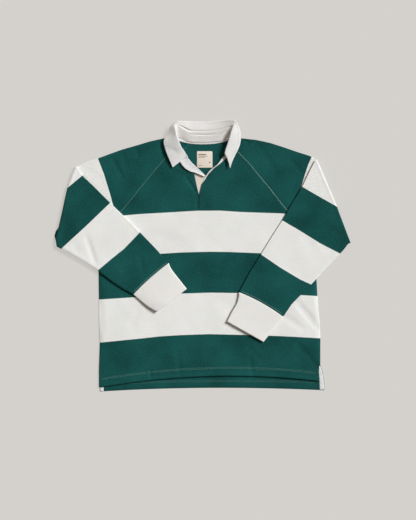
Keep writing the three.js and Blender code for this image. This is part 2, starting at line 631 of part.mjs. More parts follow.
function toGeometry(solid) {
  const mesh = solid.getMesh();
  const geometry = new THREE.BufferGeometry();
  geometry.setAttribute('position', new THREE.BufferAttribute(mesh.vertProperties, 3));
  geometry.setIndex(new THREE.BufferAttribute(mesh.triVerts, 1));
  return mergeVertices(geometry, 1e-3);
}

const cutFront = toSolid(frontPanelGeometry()).subtract(toSolid(flatPiece(NECK_CUT, -5, 20)));

const GREEN_JERSEY = new THREE.MeshStandardMaterial({ color: 0x1b4b47, roughness: 0.88, metalness: 0 });
const WHITE_RIB = new THREE.MeshStandardMaterial({ color: 0xe1dfd8, roughness: 0.9, metalness: 0 });
const CREAM_TWILL = new THREE.MeshStandardMaterial({ color: 0xe4e1d9, roughness: 0.8, metalness: 0 });
const LABEL_WEAVE = new THREE.MeshStandardMaterial({ color: 0xe8dece, roughness: 0.7, metalness: 0 });

const shirt = new THREE.Group();

function addPiece(name, geometry, material) {
  const mesh = new THREE.Mesh(geometry, material.clone());
  mesh.name = name;
  shirt.add(mesh);
}

addPiece('front_body', toGeometry(cutFront), GREEN_JERSEY);
addPiece('back_body', backPanelGeometry(), GREEN_JERSEY);
addPiece('sleeve_left', sleeveGeometry(LEFT_UPPER_ARM, LEFT_ELBOW, LEFT_FOREARM), GREEN_JERSEY);
addPiece('sleeve_right', sleeveGeometry(RIGHT_UPPER_ARM, RIGHT_ELBOW, RIGHT_FOREARM), GREEN_JERSEY);
addPiece('cuff_left', cuffGeometry(LEFT_CUFF), WHITE_RIB);
addPiece('cuff_right', cuffGeometry(RIGHT_CUFF), WHITE_RIB);
addPiece('collar', collarGeometry(), CREAM_TWILL);
addPiece('facing_left', bandGeometry(LEFT_FACING, FRONT_TOP + PLACKET_RISE + SEAM_GAP), CREAM_TWILL);
addPiece('facing_right', bandGeometry(RIGHT_FACING, RIGHT_FACING_LEVEL), CREAM_TWILL);
addPiece('placket_underlap', flatPiece(UNDERLAP_OUTLINE, INSIDE_LEVEL, TWILL), CREAM_TWILL);
addPiece('neck_tape', neckTapeGeometry(), CREAM_TWILL);
addPiece('label', labelGeometry(), LABEL_WEAVE);
addPiece('vent_tape_left', tapeGeometry(LEFT_VENT_TAPE, INSIDE_LEVEL), CREAM_TWILL);
addPiece('vent_tape_right', tapeGeometry(RIGHT_VENT_TAPE, INSIDE_LEVEL), CREAM_TWILL);

export default shirt;
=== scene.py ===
"""A hooped rugby shirt laid flat on a pale floor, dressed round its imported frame."""

import logging
import math
from collections.abc import Iterator
from dataclasses import dataclass, field
from enum import Enum
from typing import Any

import bpy
import numpy as np
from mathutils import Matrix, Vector


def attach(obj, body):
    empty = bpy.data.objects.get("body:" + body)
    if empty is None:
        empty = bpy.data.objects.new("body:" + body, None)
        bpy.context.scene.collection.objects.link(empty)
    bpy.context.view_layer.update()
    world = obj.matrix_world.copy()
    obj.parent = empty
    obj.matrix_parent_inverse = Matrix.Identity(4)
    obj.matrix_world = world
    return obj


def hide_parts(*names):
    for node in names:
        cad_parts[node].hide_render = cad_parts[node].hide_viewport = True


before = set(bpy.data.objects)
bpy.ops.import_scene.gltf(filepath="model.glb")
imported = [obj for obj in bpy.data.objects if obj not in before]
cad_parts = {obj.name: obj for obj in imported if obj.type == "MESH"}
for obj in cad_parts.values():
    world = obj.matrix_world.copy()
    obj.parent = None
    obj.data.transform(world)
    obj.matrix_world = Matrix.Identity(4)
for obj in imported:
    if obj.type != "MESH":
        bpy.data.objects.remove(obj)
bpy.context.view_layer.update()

LOG = logging.getLogger("rugby_shirt")

# Every size below is in millimetres, and every mesh is made in metres.
MM = 0.001

Point = tuple[float, float]
Line = tuple[Point, ...]
Rows = tuple[tuple[float, ...], ...]

# Walls of cloth and the heights of the layers, as the garment lies.
JERSEY_WALL = 1.4
RIB_WALL = 2.4
DRILL_WALL = 1.0
COLLAR_WALL = 1.8
SEAM_GAP = 0.3
FRONT_TOP = 5.4
INSIDE_LEVEL = JERSEY_WALL + SEAM_GAP
ELBOW_LEVEL = 6.0
CUFF_THICKNESS = 7.6
CUFF_UNDERSIDE = FRONT_TOP + SEAM_GAP
SEAM_ROUND = 14.0
PLACKET_CENTRE: Point = (3.9, 235.2)
PLACKET_RISE = 0.4
PLACKET_REACH = 95.0
CELL = 4.0

# The depth of the cloth's slow unevenness and of its softer ripples.
SLOW_WAVES = 0.22
SOFT_WAVES = 0.13

# Edges sharper than this many degrees stay sharp in the shading.
SHARP_ANGLE = 62.0

# How far a thread's middle stands above the cloth, as a share of its radius.
STITCH_LIFT = 0.6

# How far the fine rows on the drill are lifted off it.
FINE_LIFT = 0.1

# How far the forearm comes down from the elbow's fold to where it lies.
TURN_UNDER = 2 * ELBOW_LEVEL - FRONT_TOP - CUFF_UNDERSIDE

# How far a row's edges come down at the side of the body, where it meets the back.
SIDE_DROP = 2.3

# Places of the short steps beside an edge that comes down, in shares of a row.
SIDE_STEPS = (0, 0.003, 0.007, 0.012, 0.018, 0.025)
SIDE_STEPS_END = 0.032
SEAM_STEPS = (0, 0.012, 0.025, 0.04, 0.06, 0.085)
SEAM_STEPS_END = 0.115

# Where a sleeve's flat layers end and its fold begins, in shares of a row.
FOLD_SHARE = 0.985

# The power that squares off a round fold: 1 leaves it round.
SLEEVE_SQUARENESS = 0.36
ELBOW_SQUARENESS = 0.5
CUFF_SQUARENESS = 0.75

# The wave texture repeats at this distance when its scale is 1.
WAVE_PERIOD = 0.314


def linear(code: str) -> tuple[float, float, float, float]:
    """Turn an sRGB hex colour into linear values.

    Args:
        code: Six hex digits, such as "1B4B47".

    Returns:
        Linear red, green, blue and an alpha of 1.
    """
    parts = [int(code[i:i + 2], 16) / 255 for i in (0, 2, 4)]
    red, green, blue = (v / 12.92 if v <= 0.04045 else ((v + 0.055) / 1.055) ** 2.4 for v in parts)
    return (red, green, blue, 1.0)


def add_node(
    tree: bpy.types.NodeTree,
    kind: str,
    settings: dict[str, Any] | None = None,
    sockets: dict[Any, Any] | None = None,
) -> bpy.types.Node:
    """Add a node with its settings, and link or set its inputs.

    Args:
        tree: The node tree that the node goes into.
        kind: The node's type name.
        settings: Values of the node's own properties.
        sockets: For each input, by name or number, a value or an output socket to link.

    Returns:
        The new node.
    """
    node = tree.nodes.new(kind)
    for name, value in (settings or {}).items():
        setattr(node, name, value)
    for key, value in (sockets or {}).items():
        if isinstance(value, bpy.types.NodeSocket):
            tree.links.new(value, node.inputs[key])
        else:
            node.inputs[key].default_value = value
    return node


def new_material(name: str) -> tuple[bpy.types.Material, bpy.types.NodeTree]:
    """Start an empty node material.

    Args:
        name: The material's name.

    Returns:
        The material and its node tree.
    """
    material = bpy.data.materials.new(name)
    material.use_nodes = True
    material.node_tree.nodes.clear()
    return material, material.node_tree


class ClothNodes:
    """The nodes that the materials of all the cloths share."""

    def __init__(self, name: str) -> None:
        """Start the material and read each point's place on the cloth."""
        self.material, self.tree = new_material(name)
        self.place = self.add("ShaderNodeUVMap", {"uv_map": "cloth"}).outputs["UV"]

    def add(self, kind: str, settings: dict[str, Any], sockets: Any = None) -> bpy.types.Node:
        """Add a node to the cloth's own tree, as add_node does."""
        return add_node(self.tree, kind, settings, sockets)

    def noise(self, scale: float, detail: float, roughness: float = 0.5) -> bpy.types.NodeSocket:
        """Add an uneven value, with this many lumps to a millimetre."""
        return self.add("ShaderNodeTexNoise", {}, {
            "Vector": self.place, "Scale": scale / MM, "Detail": detail, "Roughness": roughness,
        }).outputs["Fac"]

    def mix(self, share: Any, first: Any, second: Any, kind: str = "FLOAT") -> bpy.types.NodeSocket:
        """Mix two values or colours.

        Args:
            share: The share of the second.
            first: The first value or colour, or its socket.
            second: The second one.
            kind: "FLOAT" for values, "RGBA" for colours.

        Returns:
            The mixture's socket.
        """
        low, result = (6, 2) if kind == "RGBA" else (2, 0)
        sockets = {0: share, low: first, low + 1: second}
        return self.add("ShaderNodeMix", {"data_type": kind}, sockets).outputs[result]

    def ramp(self, value: Any, low: float, high: float, top: float = 1.0) -> bpy.types.NodeSocket:
        """Map a value from low to high onto 0 to the top."""
        return self.add("ShaderNodeMapRange", {}, {
            "Value": value, "From Min": low, "From Max": high, "To Max": top,
        }).outputs[0]

    def relief(
        self, bands: str, pitch_mm: float, wander: float, fine: float,
        uneven: bpy.types.NodeSocket, share: float, strength: float, depth_mm: float,
    ) -> bpy.types.NodeSocket:
        """Add a low relief of loops, ribs or twill lines.

        Args:
            bands: The direction across the lines.
            pitch_mm: The distance between two lines.
            wander: How much the lines wander.
            fine: How fine their wandering is.
            uneven: An uneven value that roughens the relief.
            share: The share of that value.
            strength: The strength of the relief.
            depth_mm: Its depth.

        Returns:
            The socket of the relief's direction.
        """
        lines = self.add("ShaderNodeTexWave", {"bands_direction": bands}, {
            "Vector": self.place, "Scale": WAVE_PERIOD / (pitch_mm * MM),
            "Distortion": wander, "Detail": 1.0, "Detail Scale": fine,
        })
        return self.add("ShaderNodeBump", {}, {
            "Strength": strength, "Distance": depth_mm * MM,
            "Height": self.mix(share, lines.outputs["Fac"], uneven),
        }).outputs[0]

    def finish(
        self, colour: Any, normal: Any, roughness: float, specular: float, sheen: float,
        scatter: Any,
    ) -> bpy.types.Material:
        """Close the material with one matt fibre surface.

        Args:
            colour: The colour's socket.
            normal: The socket of the relief's direction.
            roughness: The roughness of the fibres.
            specular: The strength of their reflection.
            sheen: The strength of the lightening at grazing angles.
            scatter: The share of light that passes through the yarn, or its socket.

        Returns:
            The finished material.
        """
        shader = self.add("ShaderNodeBsdfPrincipled", {}, {
            "Base Color": colour, "Normal": normal, "Roughness": roughness, "IOR": 1.47,
            "Specular IOR Level": specular, "Sheen Weight": sheen, "Sheen Roughness": 0.5,
            "Subsurface Weight": scatter, "Subsurface Radius": (1.0, 0.74, 0.56),
            "Subsurface Scale": 4 * MM,
        })
        self.add("ShaderNodeOutputMaterial", {}, {"Surface": shader.outputs[0]})
        return self.material


@dataclass(frozen=True)
class HoopedJersey:
    """Heavy cotton jersey, yarn dyed and knitted in wide hoops, washed.

    The fine loops and the brushed fibre on them give a matt face that lightens a little at
    grazing angles, with small uneven flecks where the yarn takes the dye differently.
    """

    name: str = "cotton_jersey_knitted_hoops"
    green: str = "195955"
    green_deep: str = "0C3A38"
    white: str = "F1F0EC"
    white_deep: str = "E3E2DD"
    scatter: float = 0.35
    roughness: float = 0.95
    course_mm: float = 2.4

    def material(self) -> bpy.types.Material:
        """Build the jersey: hoops from the knitted-in field, flecked dye and a knitted relief.

        Returns:
            The finished material.
        """
        nodes = ClothNodes(self.name)
        hoop = nodes.add("ShaderNodeAttribute", {"attribute_name": "hoop"}).outputs["Fac"]
        # Flecks of uneven dye, about 4 mm across, and slow changes of shade over 90 mm.
        fleck = nodes.noise(0.25, 3.0, 0.6)
        depth = nodes.ramp(nodes.mix(0.45, fleck, nodes.noise(0.011, 2.0)), 0.34, 0.66)
        green = nodes.mix(depth, linear(self.green), linear(self.green_deep), "RGBA")
        white = nodes.mix(depth, linear(self.white), linear(self.white_deep), "RGBA")
        # The yarn changes within half a loop either side of a hoop's edge.
        colour = nodes.mix(nodes.ramp(hoop, -0.5, 0.5), green, white, "RGBA")
        # Courses of loops, drawn twice as coarse as the real 1.2 mm so that they show.
        relief = nodes.relief(
            bands="Y", pitch_mm=self.course_mm, wander=1.6, fine=2.0,
            uneven=fleck, share=0.6, strength=0.35, depth_mm=0.4,
        )
        # Light passes through the undyed yarn only, and leaves it a little warmer.
        scatter = nodes.ramp(hoop, -0.5, 0.5, self.scatter)
        return nodes.finish(
            colour, relief, self.roughness, specular=0.12, sheen=0.02, scatter=scatter,
        )


@dataclass(frozen=True)
class PlainCloth:
    """A plain cotton cloth in one yarn colour, with its ribs or weave as a low relief."""

    name: str
    light: str
    deep: str
    pitch_mm: float
    slant: bool
    depth_mm: float
    roughness: float = 0.88
    sheen: float = 0.03
    scatter: float = 0.0

    def material(self) -> bpy.types.Material:
        """Build the cloth: a slightly uneven colour and lines of ribs or twill.

        Returns:
            The finished material.
        """
        nodes = ClothNodes(self.name)
        slub = nodes.noise(0.3, 3.0, 0.6)
        uneven = nodes.mix(0.5, slub, nodes.noise(0.03, 2.0))
        colour = nodes.mix(uneven, linear(self.light), linear(self.deep), "RGBA")
        relief = nodes.relief(
            bands="DIAGONAL" if self.slant else "X", pitch_mm=self.pitch_mm, wander=0.6, fine=1.0,
            uneven=slub, share=0.4, strength=0.5, depth_mm=self.depth_mm,
        )
        return nodes.finish(
            colour, relief, self.roughness, specular=0.15, sheen=self.sheen, scatter=self.scatter,
        )


@dataclass(frozen=True)
class OpalTable:
    """Opal acrylic sheet, cast and lit evenly from below, as a studio table for cut-out pictures.

    Its own glow takes most of the strength out of the shadows that fall on it.
    """

    name: str = "acrylic_opal_cast_lit"
    body: str = "676767"
    glow: str = "D3D0CB"
    strength: float = 0.80

    def material(self) -> bpy.types.Material:
        """Build the table top: a weakly reflecting matt body with an even glow.

        Returns:
            The finished material.
        """
        material, tree = new_material(self.name)
        shader = add_node(tree, "ShaderNodeBsdfPrincipled", {}, {
            "Base Color": linear(self.body), "Roughness": 0.9, "IOR": 1.49,
            "Specular IOR Level": 0.1, "Emission Color": linear(self.glow),
            "Emission Strength": self.strength,
        })
        add_node(tree, "ShaderNodeOutputMaterial", {}, {"Surface": shader.outputs[0]})
        return material


def drill(state: str, light: str, deep: str) -> PlainCloth:
    """Describe cotton drill: its fine steep twill softens the light a little."""
    return PlainCloth(f"cotton_drill_woven_{state}", light, deep, 1.6, True, 0.18, scatter=0.3)


def label_cloth(kind: str, light: str, deep: str, roughness: float) -> PlainCloth:
    """Describe polyester label cloth: so fine that it looks almost smooth."""
    return PlainCloth(f"polyester_label_{kind}", light, deep, 0.8, True, 0.08, roughness, 0.0)


def thread(shade: str, light: str, deep: str) -> PlainCloth:
    """Describe spun polyester thread: a matt twist with a faint gleam."""
    return PlainCloth(f"polyester_thread_spun_{shade}", light, deep, 0.9, True, 0.1, 0.7)


class Finish(Enum):
    """The finishes of the shirt and of the floor under it."""

    JERSEY = HoopedJersey()
    # 2 x 2 cotton rib: soft upright ribs that only show close to.
    RIB = PlainCloth("cotton_rib_knitted", "EDECE8", "E1E0DC", 2.6, False, 0.4, scatter=0.35)
    # Cotton drill, woven and washed: a crisp cloth with a fine diagonal line.
    DRILL = drill("washed", "E6E6E5", "DAD9D7")
    # The same drill, painted warmer and darker: painted shade for the hidden side of the placket,
    # which lies in the shadow of the opening.
    DRILL_PAINTED_SHADE = drill("painted_shade", "E8DCD1", "DACBBE")
    # Damask label cloth: fine, flat and a little shiny.
    LABEL = label_cloth("damask_woven", "E6DED1", "DBD2C3", 0.6)
    # Label weft of the contrast bars.
    LABEL_BARS = label_cloth("weft_dark", "857D72", "766E63", 0.65)
    # Spun polyester thread, pale grey-green on the green cloth.
    PALE_THREAD = thread("pale", "6F9C93", "648F87")
    # The same thread a shade deeper, for the hems.
    HEM_THREAD = thread("sage", "5C8880", "527C75")
    # Spun polyester thread that almost matches the green cloth.
    GREEN_THREAD = thread("green", "356B63", "2D6159")
    # Spun polyester thread in the colour of the drill.
    CREAM_THREAD = thread("cream", "DFDCD5", "D2CEC5")
    # A lit, matt table top: nearly even, with only faint shadows.
    FLOOR = OpalTable()


class Finishes:
    """Makes each finish's material once."""

    _made: dict[Finish, bpy.types.Material] = {}

    @classmethod
    def get(cls, finish: Finish) -> bpy.types.Material:
        """Return the finish's material, made at its first use."""
        if finish not in cls._made:
            cls._made[finish] = finish.value.material()
        return cls._made[finish]


def unit(vectors: np.ndarray) -> np.ndarray:
    """Bring vectors, held by the last axis, to a length of 1."""
    return vectors / np.maximum(np.linalg.norm(vectors, axis=-1, keepdims=True), 1e-6)


def leftward(vectors: np.ndarray) -> np.ndarray:
    """Turn vectors in plan a quarter turn to their left."""
    return np.stack([-vectors[..., 1], vectors[..., 0]], axis=-1)


def raised(plan: np.ndarray, height: np.ndarray | float) -> np.ndarray:
    """Stand points in plan at one height or at a height each."""
    level = np.broadcast_to(height, plan.shape[:-1])
    return np.concatenate([plan, level[..., None]], axis=-1)


def hump(value: np.ndarray | float, centre: np.ndarray | float, width: float) -> np.ndarray:
    """Give a smooth hump, 1 high at its centre."""
    return np.exp(-(((value - centre) / width) ** 2))


def eased(share: np.ndarray) -> np.ndarray:
    """Ease a share from 0 to 1 in and out."""
    return share * share * (3 - 2 * share)


def squared(value: np.ndarray, power: float) -> np.ndarray:
    """Turn a sine or cosine into that of a pressed fold, squarer than round."""
    return np.sign(value) * np.abs(value) ** power


def lengths_along(path: np.ndarray) -> np.ndarray:
    """Measure a path's length from its start to each of its points."""
    steps = np.linalg.norm(np.diff(path, axis=0), axis=1)
    return np.concatenate([[0], np.cumsum(steps)])


def places_on(path: np.ndarray, lengths: np.ndarray) -> np.ndarray:
    """Find the points at given lengths along a path in space."""
    along = lengths_along(path)
    return np.stack([np.interp(lengths, along, path[:, k]) for k in range(3)], axis=-1)


def between(rows: np.ndarray, steps: int) -> np.ndarray:
    """Lay points in plan in equal steps from each row's first point to its second."""
    shares = np.linspace(0, 1, steps)[None, :, None]
    return rows[:, None, 0:2] + shares * (rows[:, None, 2:4] - rows[:, None, 0:2])


def stack_faces(count: int, rings: int = 2) -> list[list[int]]:
    """List the faces of a closed stack of rings of points.

    Args:
        count: The number of points in a ring.
        rings: The number of rings, from the lowest up.

    Returns:
        The faces, as numbers of points.
    """
    faces = []
    for low in range(0, (rings - 1) * count, count):
        for a in range(count):
            b = (a + 1) % count
            faces.append([low + a, low + b, low + count + b, low + count + a])
    last = (rings - 1) * count
    return faces + [list(range(count - 1, -1, -1)), list(range(last, last + count))]


def blend_rows(table: list[tuple[float, ...]], spacing: float) -> np.ndarray:
    """Fill in the rows between a table's rows.

    Args:
        table: Rows of numbers, of which the first two are a point in plan.
        spacing: The greatest distance between two filled rows at that point.

    Returns:
        The filled rows, one line of numbers each.
    """
    rows = np.array(table, dtype=float)
    steps = np.linalg.norm(np.diff(rows[:, :2], axis=0), axis=1) / spacing
    places = [0.0]
    for index, count in enumerate(np.maximum(1, np.ceil(steps)).astype(int)):
        places.extend(index + (k + 1) / count for k in range(count))
    index = np.arange(len(rows))
    return np.stack([np.interp(places, index, rows[:, c]) for c in range(rows.shape[1])], axis=1)


def smooth_rows(table: list[tuple[float, ...]], per: int) -> np.ndarray:
    """Run a smooth curve through a table's rows.

    Args:
        table: Rows of numbers.
        per: How many steps to make between two rows.

    Returns:
        The rows of the curve.
    """
    rows = np.array(table, dtype=float)
    last = len(rows) - 1
    out = []
    for k in range(last * per + 1):
        i = min(k // per, last - 1)
        t = k / per - i
        before, start = rows[max(i - 1, 0)], rows[i]
        end, after = rows[i + 1], rows[min(i + 2, last)]
        slope_in, slope_out = (end - before) / 2, (after - start) / 2
        rise = end - start
        bend = slope_in + slope_out - 2 * rise
        sag = 3 * rise - 2 * slope_in - slope_out
        out.append(start + t * (slope_in + t * (sag + t * bend)))
    return np.array(out)


@dataclass(frozen=True)
class Crease:
    """A soft trough or, with a depth below zero, a ridge from one point to another."""

    start: Point
    end: Point
    depth: float
    width: float

    def depth_at(self, points: np.ndarray) -> np.ndarray:
        """Measure how deep the crease is at points in plan.

        Args:
            points: Points in plan, the last axis holding x and y.

        Returns:
            The depth at each point, fading along the crease and across it.
        """
        start = np.array(self.start)
        run = np.array(self.end) - start
        t = np.clip(((points - start) @ run) / (run @ run), 0, 1)
        distance = np.linalg.norm(points - start - t[..., None] * run, axis=-1)
        fall = np.clip(1 - (distance / self.width) ** 2, 0, 1) ** 2
        return self.depth * fall * (0.45 + 0.55 * np.sin(math.pi * (0.15 + 0.7 * t)))


FRONT_CREASES = (
    Crease((264.3, -131.6), (320.3, -198.8), 1.9, 15),
    Crease((230.7, -170.8), (278.3, -201.6), 1.0, 14),
    Crease((267.1, -249.2), (297.9, -280), 1.6, 13),
    Crease((292.3, -274.4), (320.3, -310.8), 2.5, 11),
    Crease((-52.1, 229.6), (-15.7, 173.6), 2.7, 7.5),
    Crease((67.8, 264.6), (69.4, 246.4), 2.6, 8),
    Crease((-74.5, 254.8), (-43.7, 235.2), 1.6, 12),
    Crease((-82.9, 238), (-40.9, 224), 1.9, 15),
    Crease((-145.6, -322), (-143.9, -341.6), 2.2, 6),
    Crease((-180.9, -159.6), (-197.7, -190.4), 0.8, 16),
    Crease((-284.5, -134.4), (-278.9, -207.2), 0.8, 14),
    Crease((-68.9, -268.8), (-63.3, -333.2), 1.4, 12),
    Crease((127.1, -254.8), (166.3, -296.8), 1.0, 12),
    Crease((132.7, -285.6), (141.1, -336), 1.6, 11),
    Crease((-14, 170.8), (-14.8, 131.6), 2.4, 6.5),
    Crease((-5.9, 173.6), (-6.4, 130.2), -1.5, 6),
    Crease((54.3, -123.2), (93.5, -173.6), 0.5, 22),
    Crease((-147.3, 58.8), (-35.3, 33.6), 0.5, 24),
    Crease((71.1, 106.4), (132.7, 67.2), 0.5, 22),
    Crease((-225.7, -268.8), (-147.3, -291.2), 0.6, 22),
)
LEFT_SLEEVE_CREASES = (
    Crease((-110.9, 322), (-99.7, 274.4), 2.1, 17),
    Crease((-250.9, 268.8), (-225.7, 221.2), 2.0, 11),
    Crease((-186.5, 305.2), (-178.1, 277.2), 1.9, 9),
    Crease((-225.7, 291.2), (-211.7, 252), 1.2, 11),
    Crease((-323.7, 240.8), (-287.3, 212.8), 0.6, 16),
)
RIGHT_SLEEVE_CREASES = (
    Crease((123.2, 332.1), (125.4, 313.6), 5.0, 6.5),
    Crease((129.4, 329.3), (131, 314.7), -1.9, 5.5),
    Crease((108.9, 309.4), (138.3, 320.9), 0.8, 7),
    Crease((244.7, 268.8), (278.3, 235.2), 1.4, 12),
    Crease((166.3, 296.8), (199.9, 246.4), 1.0, 14),
)
LEFT_FOREARM_CREASES = (
    Crease((-323.7, 50.4), (-299.9, -16.8), 1.9, 11),
    Crease((-360.1, 36.4), (-346.1, 8.4), 0.9, 12),
    Crease((-175.3, 0), (-165.5, -47.6), 1.6, 11),
    Crease((-236.9, -16.8), (-208.9, -56), 0.6, 14),
    Crease((-365.7, 142.8), (-343.3, 95.2), 0.5, 20),
)
RIGHT_FOREARM_CREASES = (
    Crease((334.3, 95.2), (373.5, 56), 0.7, 18),
    Crease((183.1, -33.6), (216.7, -78.4), 0.6, 20),
    Crease((272.7, 78.4), (306.3, 16.8), 0.5, 22),
)


def crease_depth(creases: tuple[Crease, ...], points: np.ndarray) -> np.ndarray:
    """Add up the creases and a slow unevenness, as a depth below the smooth surface.

    Args:
        creases: The creases of the layer.
        points: Points in plan, the last axis holding x and y.

    Returns:
        The depth at each point.
    """
    depth = np.zeros(points.shape[:-1])
    for crease in creases:
        depth = np.maximum(depth, crease.depth_at(points))
    x, y = points[..., 0], points[..., 1]
    # Waves about 150 mm long, and ones of about 60 mm that come and go.
    slow = np.sin(x / 23 + 1.3 * np.sin(y / 41)) * np.sin(y / 31 + 0.9 * np.sin(x / 37))
    patch = 0.5 + 0.5 * np.sin(y / 37 + x / 53)
    soft = np.sin(x / 9 + 1.1 * np.sin(y / 26)) * patch
    soft = soft + 0.6 * np.sin((x + y) / 11 + 1.7 * np.sin(x / 31))
    return depth + SLOW_WAVES * (1 + slow) + SOFT_WAVES * (1.6 + soft)


def past_line(points: np.ndarray, line: Line) -> np.ndarray:
    """Measure how far points lie past a nearly straight line, to its left as it runs.

    Args:
        points: Points in plan, the last axis holding x and y.
        line: The line's points from one end to the other.

    Returns:
        The distance of each point, below zero on the right of the line.
    """
    path = np.array(line)
    axis = unit(path[-1] - path[0])
    side = leftward(axis)
    along, across = (path - path[0]) @ axis, (path - path[0]) @ side
    offset = points - path[0]
    return offset @ side - np.interp(offset @ axis, along, across)


@dataclass(frozen=True)
class BodyHoops:
    """The edges of the body's two white hoops, each from left to right."""

    first_top: Line = (
        (-301.3, 110.3), (-220.1, 113.4), (-175.3, 117.3), (-119.3, 120.4), (-12.9, 126.6),
        (48.7, 126.8),
        (104.7, 123.2), (160.7, 121), (216.7, 119.3), (328.7, 109.2),
    )
    first_bottom: Line = (
        (-301.3, -3.4), (-203.3, 2.2), (-117.9, 6.2), (-63.3, 9.8), (20.7, 12), (76.7, 11.2),
        (163.5, 7.6), (328.7, 0.8),
    )
    third_top: Line = (
        (-301.3, -122.6), (-183.7, -114.8), (-60.5, -105), (20.7, -102.5), (96.3, -103.6),
        (272.7, -109.2),
        (334.3, -112.8),
    )
    third_bottom: Line = (
        (-301.3, -243.6), (-231.3, -236.6), (-175.3, -231), (-119.3, -224.8), (-63.3, -221.2),
        (20.7, -218.4),
        (132.7, -221.2), (216.7, -224), (272.7, -226.8), (342.7, -231),
    )

    def field_at(self, points: np.ndarray) -> np.ndarray:
        """Give the knitted-in colour field of the body.

        Args:
            points: Points in plan, the last axis holding x and y.

        Returns:
            The distance in millimetres inside a white hoop, below zero in the green.
        """
        first = np.minimum(-past_line(points, self.first_top), past_line(points, self.first_bottom))
        third = np.minimum(-past_line(points, self.third_top), past_line(points, self.third_bottom))
        return np.maximum(first, third)


@dataclass
class Wall:
    """A closed wall of cloth between two grids of points, with a rounded rim."""

    outer: np.ndarray
    inner: np.ndarray
    ring: bool = False
    rim_bulge: float = 0.45

    def _edge_loops(self) -> list[list[tuple[int, int]]]:
        """List the grid places round each open edge, in order."""
        rows, columns = self.outer.shape[:2]
        if self.ring:
            return [[(0, c) for c in range(columns)], [(rows - 1, c) for c in range(columns)]]
        loop = [(0, c) for c in range(columns)]
        loop += [(r, columns - 1) for r in range(1, rows)]
        loop += [(rows - 1, c) for c in range(columns - 2, -1, -1)]
        loop += [(r, 0) for r in range(rows - 2, 0, -1)]
        return [loop]

    def _rim_point(self, row: int, column: int) -> np.ndarray:
        """Place a rim point outside the wall's middle at an edge.

        Args:
            row: The grid row of the edge point.
            column: The grid column of the edge point.

        Returns:
            The rim point.
        """
        rows, columns = self.outer.shape[:2]
        middle = (self.outer[row, column] + self.inner[row, column]) / 2
        thickness = np.linalg.norm(self.outer[row, column] - self.inner[row, column])
        outward = np.zeros(3)
        neighbours = []
        if row in (0, rows - 1):
            neighbours.append((1 if row == 0 else rows - 2, column))
        if not self.ring and column in (0, columns - 1):
            neighbours.append((row, 1 if column == 0 else columns - 2))
        for r, c in neighbours:
            step = middle - (self.outer[r, c] + self.inner[r, c]) / 2
            outward += unit(step)
        return middle + outward * thickness * self.rim_bulge

    def arrays(self) -> tuple[np.ndarray, np.ndarray, np.ndarray]:
        """Lay out the wall's points and faces.

        Returns:
            The points, the four-sided faces, and for each point its place in the grid's list,
            counted on through the inner grid.
        """
        rows, columns = self.outer.shape[:2]
        size = rows * columns
        points = [self.outer.reshape(-1, 3), self.inner.reshape(-1, 3)]
        source = [np.arange(size), np.arange(size) + size]
        number = np.arange(size).reshape(rows, columns)
        after = np.roll(number, -1, axis=1) if self.ring else number[:, 1:]
        here = number if self.ring else number[:, :-1]
        face = np.stack([here[:-1], after[:-1], after[1:], here[1:]], axis=-1).reshape(-1, 4)
        faces = [face, face[:, ::-1] + size]
        start = 2 * size
        for which, loop in enumerate(self._edge_loops()):
            count = len(loop)
            rim = np.array([self._rim_point(r, c) for r, c in loop])
            edge = np.array([number[r, c] for r, c in loop])
            points.append(rim)
            source.append(edge)
            mine = start + np.arange(count)
            following, edge_next = np.roll(mine, -1), np.roll(edge, -1)
            strips = [
                np.stack([edge_next, edge, mine, following], axis=-1),
                np.stack([following, mine, edge + size, edge_next + size], axis=-1),
            ]
            if which == 1:
                strips = [strip[:, ::-1] for strip in strips]
            faces.extend(strips)
            start += count
        joined = np.concatenate(points)
        quads = np.concatenate(faces)
        a, b, c, d = (joined[quads[:, k]] for k in range(4))
        volume = np.einsum("ij,ij->i", a, np.cross(b, c)) + np.einsum("ij,ij->i", a, np.cross(c, d))
        if volume.sum() < 0:
            quads = quads[:, ::-1]
        return joined, quads, np.concatenate(source)


def write_cloth(mesh: bpy.types.Mesh, uv: np.ndarray, hoop: np.ndarray | None = None) -> None:
    """Write what the materials read from a mesh.

    Args:
        mesh: The mesh.
        uv: For each point, its place on the cloth in millimetres.
        hoop: For each point, the knitted-in colour field.
    """
    corners = np.empty(len(mesh.loops), dtype=np.int32)
    mesh.loops.foreach_get("vertex_index", corners)
    cloth = mesh.uv_layers.get("cloth") or mesh.uv_layers.new(name="cloth")
    cloth.data.foreach_set("uv", (uv[corners] * MM).astype(np.float32).ravel())
    if hoop is not None:
        layer = mesh.attributes.get("hoop") or mesh.attributes.new("hoop", "FLOAT", "POINT")
        layer.data.foreach_set("value", hoop.astype(np.float32))


def add_object(name: str, data: Any) -> bpy.types.Object:
    """Put an object with its data into the scene."""
    made = bpy.data.objects.new(name, data)
    bpy.context.scene.collection.objects.link(made)
    return made


def make_piece(
    name: str,
    points: np.ndarray,
    faces: np.ndarray | list[list[int]],
    finish: Finish,
    uv: np.ndarray,
    hoop: np.ndarray | None = None,
) -> bpy.types.Object:
    """Make a smooth piece from arrays of points and faces.

    Args:
        name: The piece's name.
        points: Its points in millimetres.
        faces: Its faces, as numbers of points.
        finish: Its finish.
        uv: For each point, its place on the cloth in millimetres.
        hoop: For each point, the knitted-in colour field.

    Returns:
        The new object.
    """
    mesh = bpy.data.meshes.new(name)
    lists = faces.tolist() if isinstance(faces, np.ndarray) else faces
    mesh.from_pydata((points * MM).tolist(), [], lists)
    write_cloth(mesh, uv, hoop)
    mesh.shade_smooth()
    mesh.set_sharp_from_angle(angle=math.radians(SHARP_ANGLE))
    mesh.materials.append(Finishes.get(finish))
    return add_object(name, mesh)


